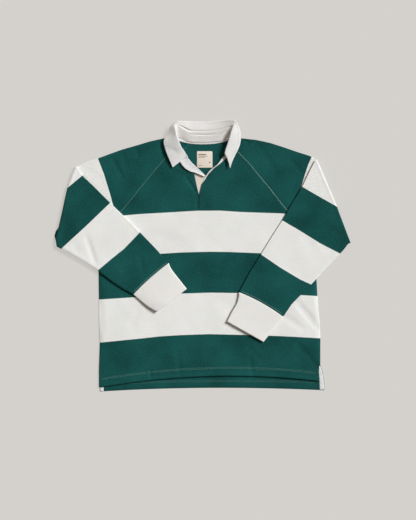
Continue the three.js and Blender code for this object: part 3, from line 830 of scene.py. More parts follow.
def settle(piece: bpy.types.Object, nodes: tuple[str, ...] = ()) -> None:
    """Fix a piece to the shirt, hide the imported parts that it replaces, and log its face count.

    Args:
        piece: The piece.
        nodes: The nodes that it replaces.
    """
    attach(piece, "root")
    if nodes:
        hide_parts(*nodes)
    LOG.info("%s: %d faces", piece.name, len(piece.data.polygons))


def drill_strip(name: str, wall: Wall, node: str) -> bpy.types.Object:
    """Make a strip of drill that lies along the cloth under it.

    Args:
        name: The strip's name.
        wall: Its wall.
        node: The node that it replaces.

    Returns:
        The strip.
    """
    points, faces, _ = wall.arrays()
    piece = make_piece(name, points, faces, Finish.DRILL, points[:, :2])
    settle(piece, (node,))
    return piece


@dataclass(frozen=True)
class Stitch:
    """The size of a stitch and the gap between two."""

    length: float
    gap: float
    radius: float

    def row(self, path: np.ndarray) -> tuple[np.ndarray, np.ndarray]:
        """Lay short raised stitches along a path.

        Args:
            path: Points on the cloth, in order.

        Returns:
            Points and four-sided faces of all the stitches.
        """
        total = lengths_along(path)[-1]
        count = max(1, int(total // (self.length + self.gap)))
        starts = (np.arange(count) + 0.5) * total / count - self.length / 2
        # A stitch is a five-sided thread, thinner where it dips into the cloth at both ends.
        shares = np.array([0.0, 0.25, 0.75, 1.0])
        swell = np.array([0.35, 1.0, 1.0, 0.35])
        sides = 5
        turns = np.arange(sides) * 2 * math.pi / sides
        centre = places_on(path, starts[:, None] + shares[None] * self.length)
        direction = unit(centre[:, -1] - centre[:, 0])
        across = unit(raised(leftward(direction), 0.0))
        upward = np.cross(direction, across)
        lift = self.radius * STITCH_LIFT * (0.4 + 0.6 * (swell > 0.5))
        centre = centre + lift[None, :, None] * upward[:, None, :]
        ring = (
            np.cos(turns)[None, None, :, None] * across[:, None, None, :]
            + np.sin(turns)[None, None, :, None] * upward[:, None, None, :]
        )
        points = centre[:, :, None, :] + ring * (self.radius * swell)[None, :, None, None]
        local = np.array(stack_faces(sides, len(shares))[:-2])
        first = np.arange(count) * len(shares) * sides
        return points.reshape(-1, 3), (local[None] + first[:, None, None]).reshape(-1, 4)


# Stitches as the thread, the tension and the machine leave them.
HEM_STITCH = Stitch(3.0, 0.7, 0.34)
BACK_HEM_STITCH = Stitch(3.0, 0.9, 0.24)
RAGLAN_STITCH = Stitch(3.4, 0.15, 0.5)
INNER_RAGLAN_STITCH = Stitch(3.2, 0.4, 0.4)
CUFF_STITCH = Stitch(3.2, 0.2, 0.58)
COLLAR_STITCH = Stitch(2.4, 0.6, 0.22)
LABEL_STITCH = Stitch(2.2, 0.7, 0.2)
PLACKET_STITCH = Stitch(2.8, 0.9, 0.26)


def zigzag(path: np.ndarray, width: float, pitch: float) -> np.ndarray:
    """Turn a path on the cloth into a zigzag about it.

    Args:
        path: Points on the cloth, in order.
        width: The zigzag's whole width.
        pitch: The distance between two turns on one side.

    Returns:
        The zigzag's points.
    """
    total = lengths_along(path)[-1]
    count = int(total // (pitch / 2))
    centre = places_on(path, np.linspace(0, total, count + 1))
    side = unit(raised(leftward(np.gradient(centre, axis=0)), 0.0))
    sign = np.where(np.arange(count + 1) % 2 == 0, 0.5, -0.5)
    return centre + side * (sign * width)[:, None]


def make_stitches(
    name: str, rows: list[np.ndarray], finish: Finish, stitch: Stitch
) -> None:
    """Join rows of stitches into one piece.

    Args:
        name: The piece's name.
        rows: A path for each row.
        finish: The thread.
        stitch: The size of the stitches.
    """
    points, faces, start = [], [], 0
    for path in rows:
        row_points, row_faces = stitch.row(path)
        points.append(row_points)
        faces.append(row_faces + start)
        start += len(row_points)
    joined = np.concatenate(points)
    settle(make_piece(name, joined, np.concatenate(faces), finish, joined[:, :2]))


NECK_LIFT_LINE = ((23.5, 238), (37.5, 249.2), (51.5, 259.3), (65.5, 273), (73.9, 296.8))
NECK_LIFT = 4.2
NECK_LIFT_REACH = 26.0
HEM_LIFT_LINE = (
    (-276.1, -365.4), (-147.3, -344.4), (-7.3, -336), (104.7, -336), (216.7, -340.2),
    (325.9, -348.6),
)
HEM_LIFT = 4.2
HEM_LIFT_REACH = 20.0


def distance_to(points: np.ndarray, line: Line) -> np.ndarray:
    """Measure how far points lie from a line.

    Args:
        points: Points in plan, the last axis holding x and y.
        line: The line's points in order.

    Returns:
        The distance of each point.
    """
    best = np.full(points.shape[:-1], np.inf)
    for a, b in zip(line, line[1:]):
        start, run = np.array(a), np.array(b) - np.array(a)
        t = np.clip(((points - start) @ run) / (run @ run), 0, 1)
        best = np.minimum(best, np.linalg.norm(points - start - t[..., None] * run, axis=-1))
    return best


def edge_lift(points: np.ndarray) -> np.ndarray:
    """Give how far the right neck edge and the hem stand up from the layers under them.

    Args:
        points: Points in plan, the last axis holding x and y.

    Returns:
        The lift at each point.
    """
    neck = np.clip(1 - distance_to(points, NECK_LIFT_LINE) / NECK_LIFT_REACH, 0, 1)
    hem = np.clip(1 - distance_to(points, HEM_LIFT_LINE) / HEM_LIFT_REACH, 0, 1)
    return NECK_LIFT * eased(neck) + HEM_LIFT * hem**2


def front_surface(points: np.ndarray) -> np.ndarray:
    """Give the height of the front's outer face without its creases, away from its sides.

    Args:
        points: Points in plan, the last axis holding x and y.

    Returns:
        The height above the surface that the shirt lies on.
    """
    distance = np.linalg.norm(points - np.array(PLACKET_CENTRE), axis=-1)
    share = np.clip((PLACKET_REACH - distance) / (0.3 * PLACKET_REACH), 0, 1)
    return FRONT_TOP + PLACKET_RISE * eased(share) + edge_lift(points)


def front_height(
    points: np.ndarray, edge: np.ndarray, drop: np.ndarray, creases: tuple[Crease, ...]
) -> np.ndarray:
    """Give the height of the front's outer face.

    Args:
        points: Points in plan, the last axis holding x and y.
        edge: How far each lies from an edge that comes down to the back.
        drop: How far that edge comes down.
        creases: The creases of the layer.

    Returns:
        The height above the surface that the shirt lies on.
    """
    near = np.clip(1 - edge / SEAM_ROUND, 0, 1)
    height = front_surface(points) - drop * near**2 - crease_depth(creases, points)
    return np.maximum(height, INSIDE_LEVEL + JERSEY_WALL)


@dataclass
class Body:
    """The front and back panels, their hems and the tapes of the side vents."""

    hoops: BodyHoops = field(default_factory=BodyHoops)
    stations: int = 180
    cutter_heights: Point = (-5, 15)
    # The two straight rows of each hem, from the middle of its stitching.
    front_hem_rows: Point = (-2.2, 2.2)
    back_hem_rows: Point = (-2.6, 2.6)
    # How much of a distance across a raglan seam shows along a row.
    raglan_slant: float = 0.72
    # Where the back's hem stitching ends at the right, lower than its row.
    back_hem_right: float = -353.64
    # Each level: left, middle and right ends of the row, and how far its edges come down.
    front_levels: Rows = (
        (-290.1, -366.8, 17.9, -334.9, 325.9, -348.6, 1.0),
        (-290.1, -345.8, 17.9, -313.6, 324.8, -327.6, 1.0),
        (-290.1, -313.6, 17.9, -285.6, 327.3, -302.4, 1.0),
        (-287.8, -242.2, 17.9, -218.4, 329.6, -230.4, 2.2),
        (-289.5, -193.2, 17.9, -173.6, 327, -182, 2.3),
        (-290.1, -121.8, 17.9, -102.8, 321.2, -112, 2.3),
        (-291.2, -44.8, 17.9, -28, 316.7, -53.2, 2.3),
        (-290.6, -4.2, 17.9, 12, 315.3, 1.4, 2.3),
        (-278.9, 44.8, 17.9, 54.6, 303.5, 46.2, 2.3),
        (-241.1, 113.7, 9.5, 126, 248.9, 116.2, 0.8),
        (-203.3, 156.8, 6.7, 163.8, 216.7, 155.4, 0),
        (-175.3, 193.2, 6.7, 197.4, 188.7, 191.8, 0),
        (-147.3, 226.8, 6.7, 229.6, 160.7, 225.4, 0),
        (-109.5, 271.6, 12.3, 268.8, 132.7, 259, 0),
        (-91.3, 292.6, 3.9, 294, 99.1, 294, 0),
        (-77.3, 305.2, 1.1, 310.8, 79.5, 315, 0),
    )
    back_levels: Rows = (
        (-287.3, -378.8, 17.9, -368.5, 340.8, -375.2, 0),
        (-289, -358.4, 17.9, -350, 339.9, -347.2, 0),
        (-290.6, -327.6, 17.9, -319.2, 335.2, -322, 0),
        (-290.1, -313.6, 17.9, -291.2, 329.3, -305.2, 0),
        (-287.8, -242.2, 17.9, -218.4, 329.6, -230.4, 0),
        (-290.1, -121.8, 17.9, -102.8, 321.2, -112, 0),
        (-290.6, -4.2, 17.9, 12, 315.3, 1.4, 0),
        (-278.9, 44.8, 17.9, 54.6, 303.5, 46.2, 0),
        (-234.1, 98, 9.5, 103.6, 253.1, 99.4, 0),
        (-192.1, 145.6, 6.7, 151.2, 208.3, 147, 0),
        (-158.5, 184.8, 6.7, 187.6, 173.3, 186.2, 0),
        (-127.7, 221.2, 6.7, 224, 139.7, 222.6, 0),
        (-89.9, 263.2, 6.7, 263.2, 99.1, 264.6, 0),
        (-59.1, 294, 6.7, 291.2, 66.9, 298.2, 0),
        (-38.1, 318.1, 6.7, 316.4, 51.5, 320.3, 0),
    )
    neck_cut: Line = (
        (-76.2, 352.8), (-72.8, 305.2), (-60.5, 288.4), (-49.3, 273), (-35.3, 252), (-24.6, 233.8),
        (-19.9, 212.8), (-15.7, 193.2), (-10.4, 170.8), (-11, 130.2),
        (-10.8, 130.2), (-10, 170.8), (-1.7, 201.6), (6.7, 212.8), (16.5, 228.2), (31.9, 245),
        (48.7, 257.6), (65.5, 273), (73.9, 296.8), (78.4, 316.4), (79.5, 352.8),
    )
    left_vent: Rows = (
        (-286.2, -378.3, -277.2, -378), (-287.8, -358.4, -277.8, -358.4),
        (-289, -319.2, -278.9, -319.2),
    )
    inner_raglans: tuple[Line, ...] = (
        ((-37, 311.9), (-46.5, 304.1), (-59.4, 294)), ((51.5, 314.7), (61.6, 300.7)),
    )
    right_vent: Rows = (
        (339.6, -374.1, 327.6, -373.8), (338.5, -347.2, 327, -347.2),
        (333.8, -322, 324.8, -322), (328.7, -308, 320.3, -308),
    )

    def _row(self, level: np.ndarray, u: np.ndarray) -> np.ndarray:
        """Place points across a level.

        Args:
            level: The level's left, middle and right ends and its drop.
            u: Where the points lie, from 0 at the left to 1 at the right.

        Returns:
            The points in plan.
        """
        left = level[0:2] + np.array([0.5, 0])
        right = level[4:6] - np.array([0.5, 0])
        weights = ((1 - u) * (1 - 2 * u), 4 * u * (1 - u), u * (2 * u - 1))
        ends = (left, level[2:4], right)
        return sum(w[:, None] * e[None] for w, e in zip(weights, ends))

    def front_row(self, level: np.ndarray, u: np.ndarray) -> np.ndarray:
        """Place points of the front's outer face across a level.

        Args:
            level: The level's ends and drop.
            u: Where the points lie, from 0 to 1.

        Returns:
            The points in space.
        """
        plan = self._row(level, u)
        edge = np.minimum(u, 1 - u) * np.linalg.norm(level[4:6] - level[0:2])
        return raised(plan, front_height(plan, edge, np.full(len(u), level[6]), FRONT_CREASES))

    def front(self) -> None:
        """Build the front panel and cut the neck and front opening from it."""
        # Short steps at the sides, where the edge comes down to the back.
        edge = np.array(SIDE_STEPS)
        inside = np.linspace(SIDE_STEPS_END, 1 - SIDE_STEPS_END, self.stations)
        u = np.concatenate([edge, inside, 1 - edge[::-1]])
        levels = blend_rows(list(self.front_levels), CELL)
        outer = np.stack([self.front_row(level, u) for level in levels])
        points, faces, _ = Wall(outer, outer - np.array([0, 0, JERSEY_WALL])).arrays()
        whole = make_piece("front_panel", points, faces, Finish.JERSEY, points[:, :2])
        cutter = self._neck_cutter()
        cut = whole.modifiers.new("neck", "BOOLEAN")
        cut.operation = "DIFFERENCE"
        cut.solver = "EXACT"
        cut.object = cutter
        graph = bpy.context.evaluated_depsgraph_get()
        mesh = bpy.data.meshes.new_from_object(whole.evaluated_get(graph))
        whole.modifiers.clear()
        old = whole.data
        whole.data = mesh
        bpy.data.meshes.remove(old)
        bpy.data.objects.remove(cutter)
        flat = np.empty(len(mesh.vertices) * 3, dtype=np.float32)
        mesh.vertices.foreach_get("co", flat)
        plan = flat.reshape(-1, 3)[:, :2] / MM
        write_cloth(mesh, plan, self.hoops.field_at(plan))
        settle(whole, ("front_body",))

    def _neck_cutter(self) -> bpy.types.Object:
        """Make the prism that cuts the neck and front opening."""
        points = [(x * MM, y * MM, z * MM) for z in self.cutter_heights for x, y in self.neck_cut]
        mesh = bpy.data.meshes.new("neck_cutter")
        mesh.from_pydata(points, [], stack_faces(len(self.neck_cut)))
        return add_object("neck_cutter", mesh)

    def back(self) -> None:
        """Build the back panel, flat on its underside."""
        u = np.linspace(0, 1, 90)
        levels = blend_rows(list(self.back_levels), 7.0)
        plan = np.stack([self._row(level, u) for level in levels])
        points, faces, _ = Wall(raised(plan, JERSEY_WALL), raised(plan, 0.0)).arrays()
        hoop = self.hoops.field_at(points[:, :2])
        piece = make_piece("back_panel", points, faces, Finish.JERSEY, points[:, :2], hoop)
        settle(piece, ("back_body",))

    def vent_tape(self, name: str, node: str, table: Rows) -> None:
        """Build one vent tape on the inside of the back panel.

        Args:
            name: The piece's name.
            node: The node that it replaces.
            table: The tape's outer and inner edges.
        """
        low = raised(between(blend_rows(list(table), 4.0), 5), INSIDE_LEVEL)
        wall = Wall(low + np.array([0, 0, DRILL_WALL]), low, rim_bulge=0.3)
        piece = drill_strip(name, wall, node)

    def hem_stitching(self) -> None:
        """Sew the coverstitched hems: two rows of thread with a zigzag between them."""
        y_places = [1, 3, 5]
        u = np.linspace(0.012, 0.988, 260)
        level = np.array(self.front_levels[1])
        rows = []
        for shift in self.front_hem_rows:
            moved = level.copy()
            moved[y_places] += shift
            rows.append(self.front_row(moved, u))
        rows.append(zigzag(self.front_row(level, u), width=3.8, pitch=5.0))
        make_stitches("front_hem_stitching", rows, Finish.HEM_THREAD, HEM_STITCH)
        rows = []
        u = np.linspace(0.012, 0.962, 260)
        for shift in (*self.back_hem_rows, 0):
            moved = np.array(self.back_levels[1])
            moved[5] = self.back_hem_right
            moved[y_places] += shift
            path = raised(self._row(moved, u), JERSEY_WALL)
            rows.append(zigzag(path, width=4.4, pitch=5.0) if shift == 0 else path)
        make_stitches("back_hem_stitching", rows, Finish.HEM_THREAD, BACK_HEM_STITCH)

    def raglan_stitching(self) -> None:
        """Sew the rows of thread on the body's side of each raglan seam."""
        # The seams run up from the ninth level, just under the armpits.
        levels = blend_rows(list(self.front_levels[8:]), CELL)[4:]
        for side, finish, distances in (
            ("left", Finish.HEM_THREAD, (1.2, 2.2)),
            ("right", Finish.PALE_THREAD, (1.0, 2.0, 3.0)),
        ):
            rows = []
            for distance in distances:
                path = []
                for level in levels:
                    # The seam crosses the rows aslant, which lengthens the distance along them.
                    width = np.linalg.norm(level[4:6] - level[0:2])
                    u = distance / self.raglan_slant / width
                    place = np.array([u if side == "left" else 1 - u])
                    path.append(self.front_row(level, place)[0])
                rows.append(np.array(path))
            make_stitches(f"raglan_stitching_{side}", rows, finish, RAGLAN_STITCH)
        inside = [raised(blend_rows(list(path), 3.0), JERSEY_WALL) for path in self.inner_raglans]
        make_stitches(
            "raglan_stitching_inside", inside, Finish.HEM_THREAD, INNER_RAGLAN_STITCH,
        )

    def build(self) -> None:
        """Build every piece of the body."""
        self.front()
        self.back()
        self.vent_tape("vent_tape_left_piece", "vent_tape_left", self.left_vent)
        self.vent_tape("vent_tape_right_piece", "vent_tape_right", self.right_vent)
        self.hem_stitching()
        self.raglan_stitching()


@dataclass(frozen=True)
class ElbowFold:
    """The shape of the fold at the elbow, in shares of its length from the underarm to the top."""

    steps: int = 27
    # Where on the upper arm the bow begins, and how much of the forearm it takes to end.
    bow_start: float = 0.72
    bow_end: float = 0.25
    # How far the corner at the underarm reaches out, and where the whole reach begins.
    corner: float = 0.26
    corner_share: float = 0.085
    # Where the corner swells, along the fold and in radians round it.
    swell_share: float = 0.1
    swell_length: float = 0.062
    swell_turn: float = 0.8
    swell_arc: float = 0.36
    # How much of the fold is tucked in, and by which turn it is.
    tuck_share: float = 0.13
    tuck_turn: float = 0.6


@dataclass
class Sleeve:
    """A raglan sleeve folded at the elbow, with its cuff."""

    side: str
    # Each row: its points on the front raglan, the shoulder fold and the back raglan, and its drop.
    upper_arm: Rows
    elbow_top: Point
    elbow_under: Point
    top_reach: float
    under_reach: float
    # Each row: the top edge, the underarm edge and the height above the front.
    forearm: Rows
    # Each row: the top edge, the underarm edge and the height of each above the front.
    cuff_rows: Rows
    upper_creases: tuple[Crease, ...]
    forearm_creases: tuple[Crease, ...]
    # The edges of the white hoops: on the upper arm, then on the forearm.
    hoop_upper: Line
    hoop_corner: Line
    hoop_start: Line
    hoop_end: Line
    corner_width: float
    # How far the fold at the elbow bows out, by its share from the underarm to the top.
    fold_bow: tuple[tuple[float, float], ...]
    elbow_bulge: float
    elbow_tuck: float
    seam_bow: float
    cuff_roll: float
    # 1 for the arm on the left, -1 for the one on the right.
    hand: int
    cuff_length: float = 85.0
    # How far above the cuff seam its row of thread runs.
    thread_place: float = 3.2
    # How much the cuff swells along its middle, sags across it, and closes up inside.
    cuff_swell: float = 0.06
    cuff_sag: float = 0.35
    cuff_closing: float = 0.58
    elbow: ElbowFold = field(default_factory=ElbowFold)

    @property
    def _fold_row(self) -> np.ndarray:
        """Lay out the elbow's fold as a row of the upper arm."""
        return np.array([*self.elbow_under, *self.elbow_top, *self.elbow_under, SIDE_DROP])

    @property
    def _fold_axis(self) -> np.ndarray:
        """Give the direction up the elbow's fold, from the underarm to the top."""
        return unit(np.array(self.elbow_top) - np.array(self.elbow_under))

    @property
    def _seam_direction(self) -> np.ndarray:
        """Give the direction down the forearm at the cuff seam."""
        return unit(np.array(self.forearm[-1][0:2]) - np.array(self.forearm[-2][0:2]))

    def _seam_curve(self, shares: np.ndarray) -> np.ndarray:
        """Give how far the cuff seam curves up the forearm at shares of its length."""
        return 4 * shares * (1 - shares) * self.seam_bow

    def _bowed(self, plan: np.ndarray, shares: np.ndarray, weight: float) -> np.ndarray:
        """Move points out by the bow of the elbow's fold.

        Args:
            plan: Points in plan.
            shares: Their shares from the underarm to the top.
            weight: How much of the bow they take.

        Returns:
            The moved points.
        """
        table = np.array(self.fold_bow)
        bow = np.interp(shares, table[:, 0], table[:, 1])
        return plan + (bow * weight)[:, None] * leftward(self._fold_axis) * self.hand

    def _section(
        self, row: np.ndarray, wall: float, creases: tuple[Crease, ...]
    ) -> tuple[np.ndarray, np.ndarray, np.ndarray]:
        """Place one face's points round a sleeve row while the arm lies flat.

        Args:
            row: The row's front, top and back points and its drop.
            wall: How far the face lies inside the outer one.
            creases: The creases of the layer.

        Returns:
            The points in plan, their heights, and their shares from the underarm to the top.
        """
        front, top, back, drop = row[0:2], row[2:4], row[4:6], row[6]
        width = np.linalg.norm(top - front)
        outward = unit(top - front)
        centre = top - outward * FRONT_TOP / 2
        radius = FRONT_TOP / 2 - wall
        # Short steps at the seam, where the edge comes down to the body.
        shares = np.concatenate([SEAM_STEPS, np.linspace(SEAM_STEPS_END, FOLD_SHARE, 34)])
        plan = front + shares[:, None] * (centre - front)
        height = front_height(plan, shares * width, np.full(len(shares), drop), creases) - wall
        # The creases fade out before the fold.
        height = height + np.clip((shares - 0.9) / 0.085, 0, 1) * (FRONT_TOP - wall - height)
        turns = np.radians(np.linspace(90, -90, 19))
        across, upright = (
            radius * squared(wave(turns), SLEEVE_SQUARENESS) for wave in (np.cos, np.sin)
        )
        back_shares = np.linspace(FOLD_SHARE, 0, 26)
        back_plan = back + back_shares[:, None] * (centre - back)
        points = np.concatenate([plan, centre + across[:, None] * outward, back_plan])
        under = np.full(len(back_shares), wall)
        heights = np.concatenate([height, FRONT_TOP / 2 + upright, under])
        return points, heights, np.concatenate([shares, np.ones(len(turns)), back_shares])

    def _upper_part(self, wall: float) -> Iterator[tuple[np.ndarray, np.ndarray]]:
        """Place a face's rows from the neck to the elbow's fold.

        Args:
            wall: How far the face lies inside the outer one.

        Yields:
            Each row's points in plan and their heights.
        """
        table = [tuple(self._trim(np.array(row))) for row in self.upper_arm]
        rows = blend_rows([*table, tuple(self._fold_row)], CELL)[:-1]
        start = self.elbow.bow_start
        for index, row in enumerate(rows):
            plan, height, shares = self._section(row, wall, self.upper_creases)
            weight = min(1.0, max(0.0, (index / len(rows) - start) / (1 - start))) ** 2
            yield self._bowed(plan, shares, weight), height

    def _elbow_part(self, wall: float) -> Iterator[tuple[np.ndarray, np.ndarray]]:
        """Place a face's rows round the elbow's fold.

        Args:
            wall: How far the face lies inside the outer one.

        Yields:
            Each row's points in plan and their heights.
        """
        elbow, axis = self.elbow, self._fold_axis
        plan, height, shares = self._section(self._fold_row, wall, ())
        plan = self._bowed(plan, shares, 1.0)
        depth = ELBOW_LEVEL - height
        rounded = np.clip(elbow.corner + shares / elbow.corner_share, 0, 1)
        reach = self.under_reach + (self.top_reach - self.under_reach) * shares
        reach = reach * (rounded if self.elbow_bulge > 0 else 1)
        swell = self.elbow_bulge * rounded * hump(shares, elbow.swell_share, elbow.swell_length)
        tuck = self.elbow_tuck * np.clip(1 - shares / elbow.tuck_share, 0, 1)
        for turn in np.linspace(0, math.pi, elbow.steps):
            low = hump(turn, elbow.swell_turn, elbow.swell_arc)
            across, upright = squared(np.array([math.sin(turn), math.cos(turn)]), ELBOW_SQUARENESS)
            out = (depth * reach * across + swell * low)[:, None] * leftward(axis) * self.hand
            inward = (tuck * min(1.0, turn / elbow.tuck_turn))[:, None] * axis
            yield plan + out - inward, ELBOW_LEVEL - depth * upright

    def _forearm_part(self, wall: float) -> Iterator[tuple[np.ndarray, np.ndarray]]:
        """Place a face's rows from the elbow's fold to the cuff seam.

        Args:
            wall: How far the face lies inside the outer one.

        Yields:
            Each row's points in plan and their heights.
        """
        tucked = np.array(self.elbow_under) - self.elbow_tuck * self._fold_axis
        start = (*self.elbow_top, *tucked, TURN_UNDER)
        rows = blend_rows([start, *self.forearm], CELL)[1:]
        bow_rows = self.elbow.bow_end * len(rows)
        for index, row in enumerate(rows):
            flat = np.array([*row[2:4], *row[0:2], *row[2:4], SIDE_DROP])
            plan, height, shares = self._section(flat, wall, ())
            plan = self._bowed(plan, shares, max(0.0, 1 - (index + 1) / bow_rows) ** 2)
            # The last six rows take up the curve of the cuff seam.
            near = max(0.0, 1 - (len(rows) - 1 - index) / 6)
            plan = plan - (self._seam_curve(shares) * near)[:, None] * self._seam_direction
            level = 2 * ELBOW_LEVEL - TURN_UNDER + row[4] - height
            # Creases mark the upper layer only, and fade out at both of its edges.
            fade = np.minimum(np.clip(1.15 - shares, 0, 0.15) / 0.15, np.clip(shares / 0.1, 0, 1))
            crease = crease_depth(self.forearm_creases, plan) * fade
            yield plan, level - np.where(height < FRONT_TOP / 2, crease, 0)

    def _face(self, wall: float) -> tuple[np.ndarray, np.ndarray, np.ndarray]:
        """Place one whole face of the sleeve, from the neck to the cuff seam.

        Args:
            wall: How far the face lies inside the outer one.

        Returns:
            The points, the colour field and the cloth places, row by row.
        """
        rows, fields, cloths = [], [], []
        for part, field_of, line in (
            (self._upper_part(wall), self._upper_field, self.hoop_upper),
            (self._elbow_part(wall), self._forearm_field, self.hoop_start),
            (self._forearm_part(wall), self._forearm_field, self.hoop_start),
        ):
            for plan, height in part:
                rows.append(raised(plan, height))
                fields.append(field_of(plan))
                cloths.append(self._cloth(plan, line))
        return np.stack(rows), np.stack(fields), np.stack(cloths)

    def _trim(self, row: np.ndarray) -> np.ndarray:
        """Draw a row's raglan ends away from the body by half the seam's gap."""
        row[[0, 4]] += 0.5 * (-1 if self.hand == 1 else 1)
        return row

    def _upper_field(self, plan: np.ndarray) -> np.ndarray:
        """Give the colour field of the upper arm: one white hoop past its first edge."""
        past = -past_line(plan, self.hoop_upper)
        return np.minimum(past, self.corner_width - past)

    def _forearm_field(self, plan: np.ndarray) -> np.ndarray:
        """Give the colour field of the forearm: a white corner, then one white hoop."""
        band = np.minimum(past_line(plan, self.hoop_start), -past_line(plan, self.hoop_end))
        return np.maximum(-past_line(plan, self.hoop_corner), band)

    def _cloth(self, plan: np.ndarray, line: Line) -> np.ndarray:
        """Measure places on the cloth along and across a hoop's edge.

        Args:
            plan: Points in plan.
            line: The hoop's edge.

        Returns:
            Places on the cloth in millimetres.
        """
        start = np.array(line[0])
        axis = unit(np.array(line[-1]) - start)
        offset = plan - start
        return np.stack([offset @ axis, offset @ leftward(axis)], axis=-1)

    def arm(self) -> None:
        """Build the sleeve."""
        outer, field_outer, cloth_outer = self._face(0.0)
        inner, field_inner, cloth_inner = self._face(JERSEY_WALL)
        points, faces, source = Wall(outer, inner).arrays()
        hoop = np.concatenate([field_outer.ravel(), field_inner.ravel()])[source]
        uv = np.concatenate([cloth_outer.reshape(-1, 2), cloth_inner.reshape(-1, 2)])[source]
        name = f"sleeve_{self.side}_folded"
        piece = make_piece(name, points, faces, Finish.JERSEY, uv, hoop)
        settle(piece, (f"sleeve_{self.side}",))

    def _cuff_face(self, wall: float, levels: np.ndarray) -> np.ndarray:
        """Place one face of the cuff.

        Args:
            wall: How far the face lies inside the outer one.
            levels: The cuff's rows.

        Returns:
            A grid of points, row by row, each row going once round the tube.
        """
        turns = np.radians(np.linspace(-90, 90, 13))
        across = np.linspace(0, 1, 24)[1:-1]
        half = CUFF_THICKNESS / 2
        radius = half - wall
        rows = []
        for down, row in zip(np.linspace(0, 1, len(levels)), levels):
            top, under = row[0:2], row[2:4]
            outward = unit(top - under)
            top, under = top - outward * half, under + outward * half
            # The cavity closes up where the edge rolls under.
            sink = self.cuff_roll * (0.3 + 0.7 * down) * (1.0 if wall == 0 else self.cuff_closing)
            roll = sink * np.clip((across - 0.6) / 0.4, 0, 1) ** 2
            # The ribs swell between the seam and the edge, and the tube sags along its middle.
            swell = radius * (1 + self.cuff_swell * math.sin(math.pi * down))
            sag = self.cuff_sag * np.sin(math.pi * across) ** 2
            squash = (2 * radius - sink) / (2 * radius)
            plan = np.concatenate([
                top + (radius * squared(np.cos(turns), CUFF_SQUARENESS))[:, None] * outward,
                top + across[:, None] * (under - top),
                under - (radius * np.cos(turns))[:, None] * outward,
                under + across[:, None] * (top - under),
            ])
            height = np.concatenate([
                radius * squared(np.sin(turns), CUFF_SQUARENESS),
                swell - sag - roll,
                -radius + radius * (1 - np.sin(turns)) * squash,
                np.full(len(across), -radius),
            ])
            shares = np.concatenate([np.ones(len(turns)), 1 - across, np.zeros(len(turns)), across])
            lift = row[5] + (row[4] - row[5]) * shares
            curve = self._seam_curve(shares) * (1 - down)
            plan = plan - curve[:, None] * self._seam_direction
            rows.append(raised(plan, CUFF_UNDERSIDE + half + lift + height))
        return np.stack(rows)

    def cuff(self) -> None:
        """Build the rib cuff as a flattened tube."""
        levels = smooth_rows(list(self.cuff_rows), 10)
        outer, inner = self._cuff_face(0.0, levels), self._cuff_face(RIB_WALL, levels)
        points, faces, source = Wall(outer, inner, ring=True, rim_bulge=0.4).arrays()
        down_places = np.linspace(0, self.cuff_length, len(levels))
        uv = np.stack(np.meshgrid(lengths_along(outer[0]), down_places), axis=-1).reshape(-1, 2)
        uv = np.concatenate([uv, uv])[source]
        piece = make_piece(f"cuff_{self.side}_rib", points, faces, Finish.RIB, uv)
        settle(piece, (f"cuff_{self.side}",))

    def cuff_stitching(self) -> None:
        """Sew a row of thread on the sleeve just above the cuff seam."""
        top, under = np.array(self.forearm[-1][0:2]), np.array(self.forearm[-1][2:4])
        shares = np.linspace(0.03, 0.95, 60)
        above = (self.thread_place + self._seam_curve(shares))[:, None] * -self._seam_direction
        plan = top + shares[:, None] * (under - top) + above
        height = CUFF_UNDERSIDE + FRONT_TOP - crease_depth(self.forearm_creases, plan)
        make_stitches(
            f"cuff_{self.side}_stitching", [raised(plan, height)], Finish.PALE_THREAD,
            CUFF_STITCH,
        )

    def build(self) -> None:
        """Build every piece of the sleeve."""
        self.arm()
        self.cuff()
        self.cuff_stitching()


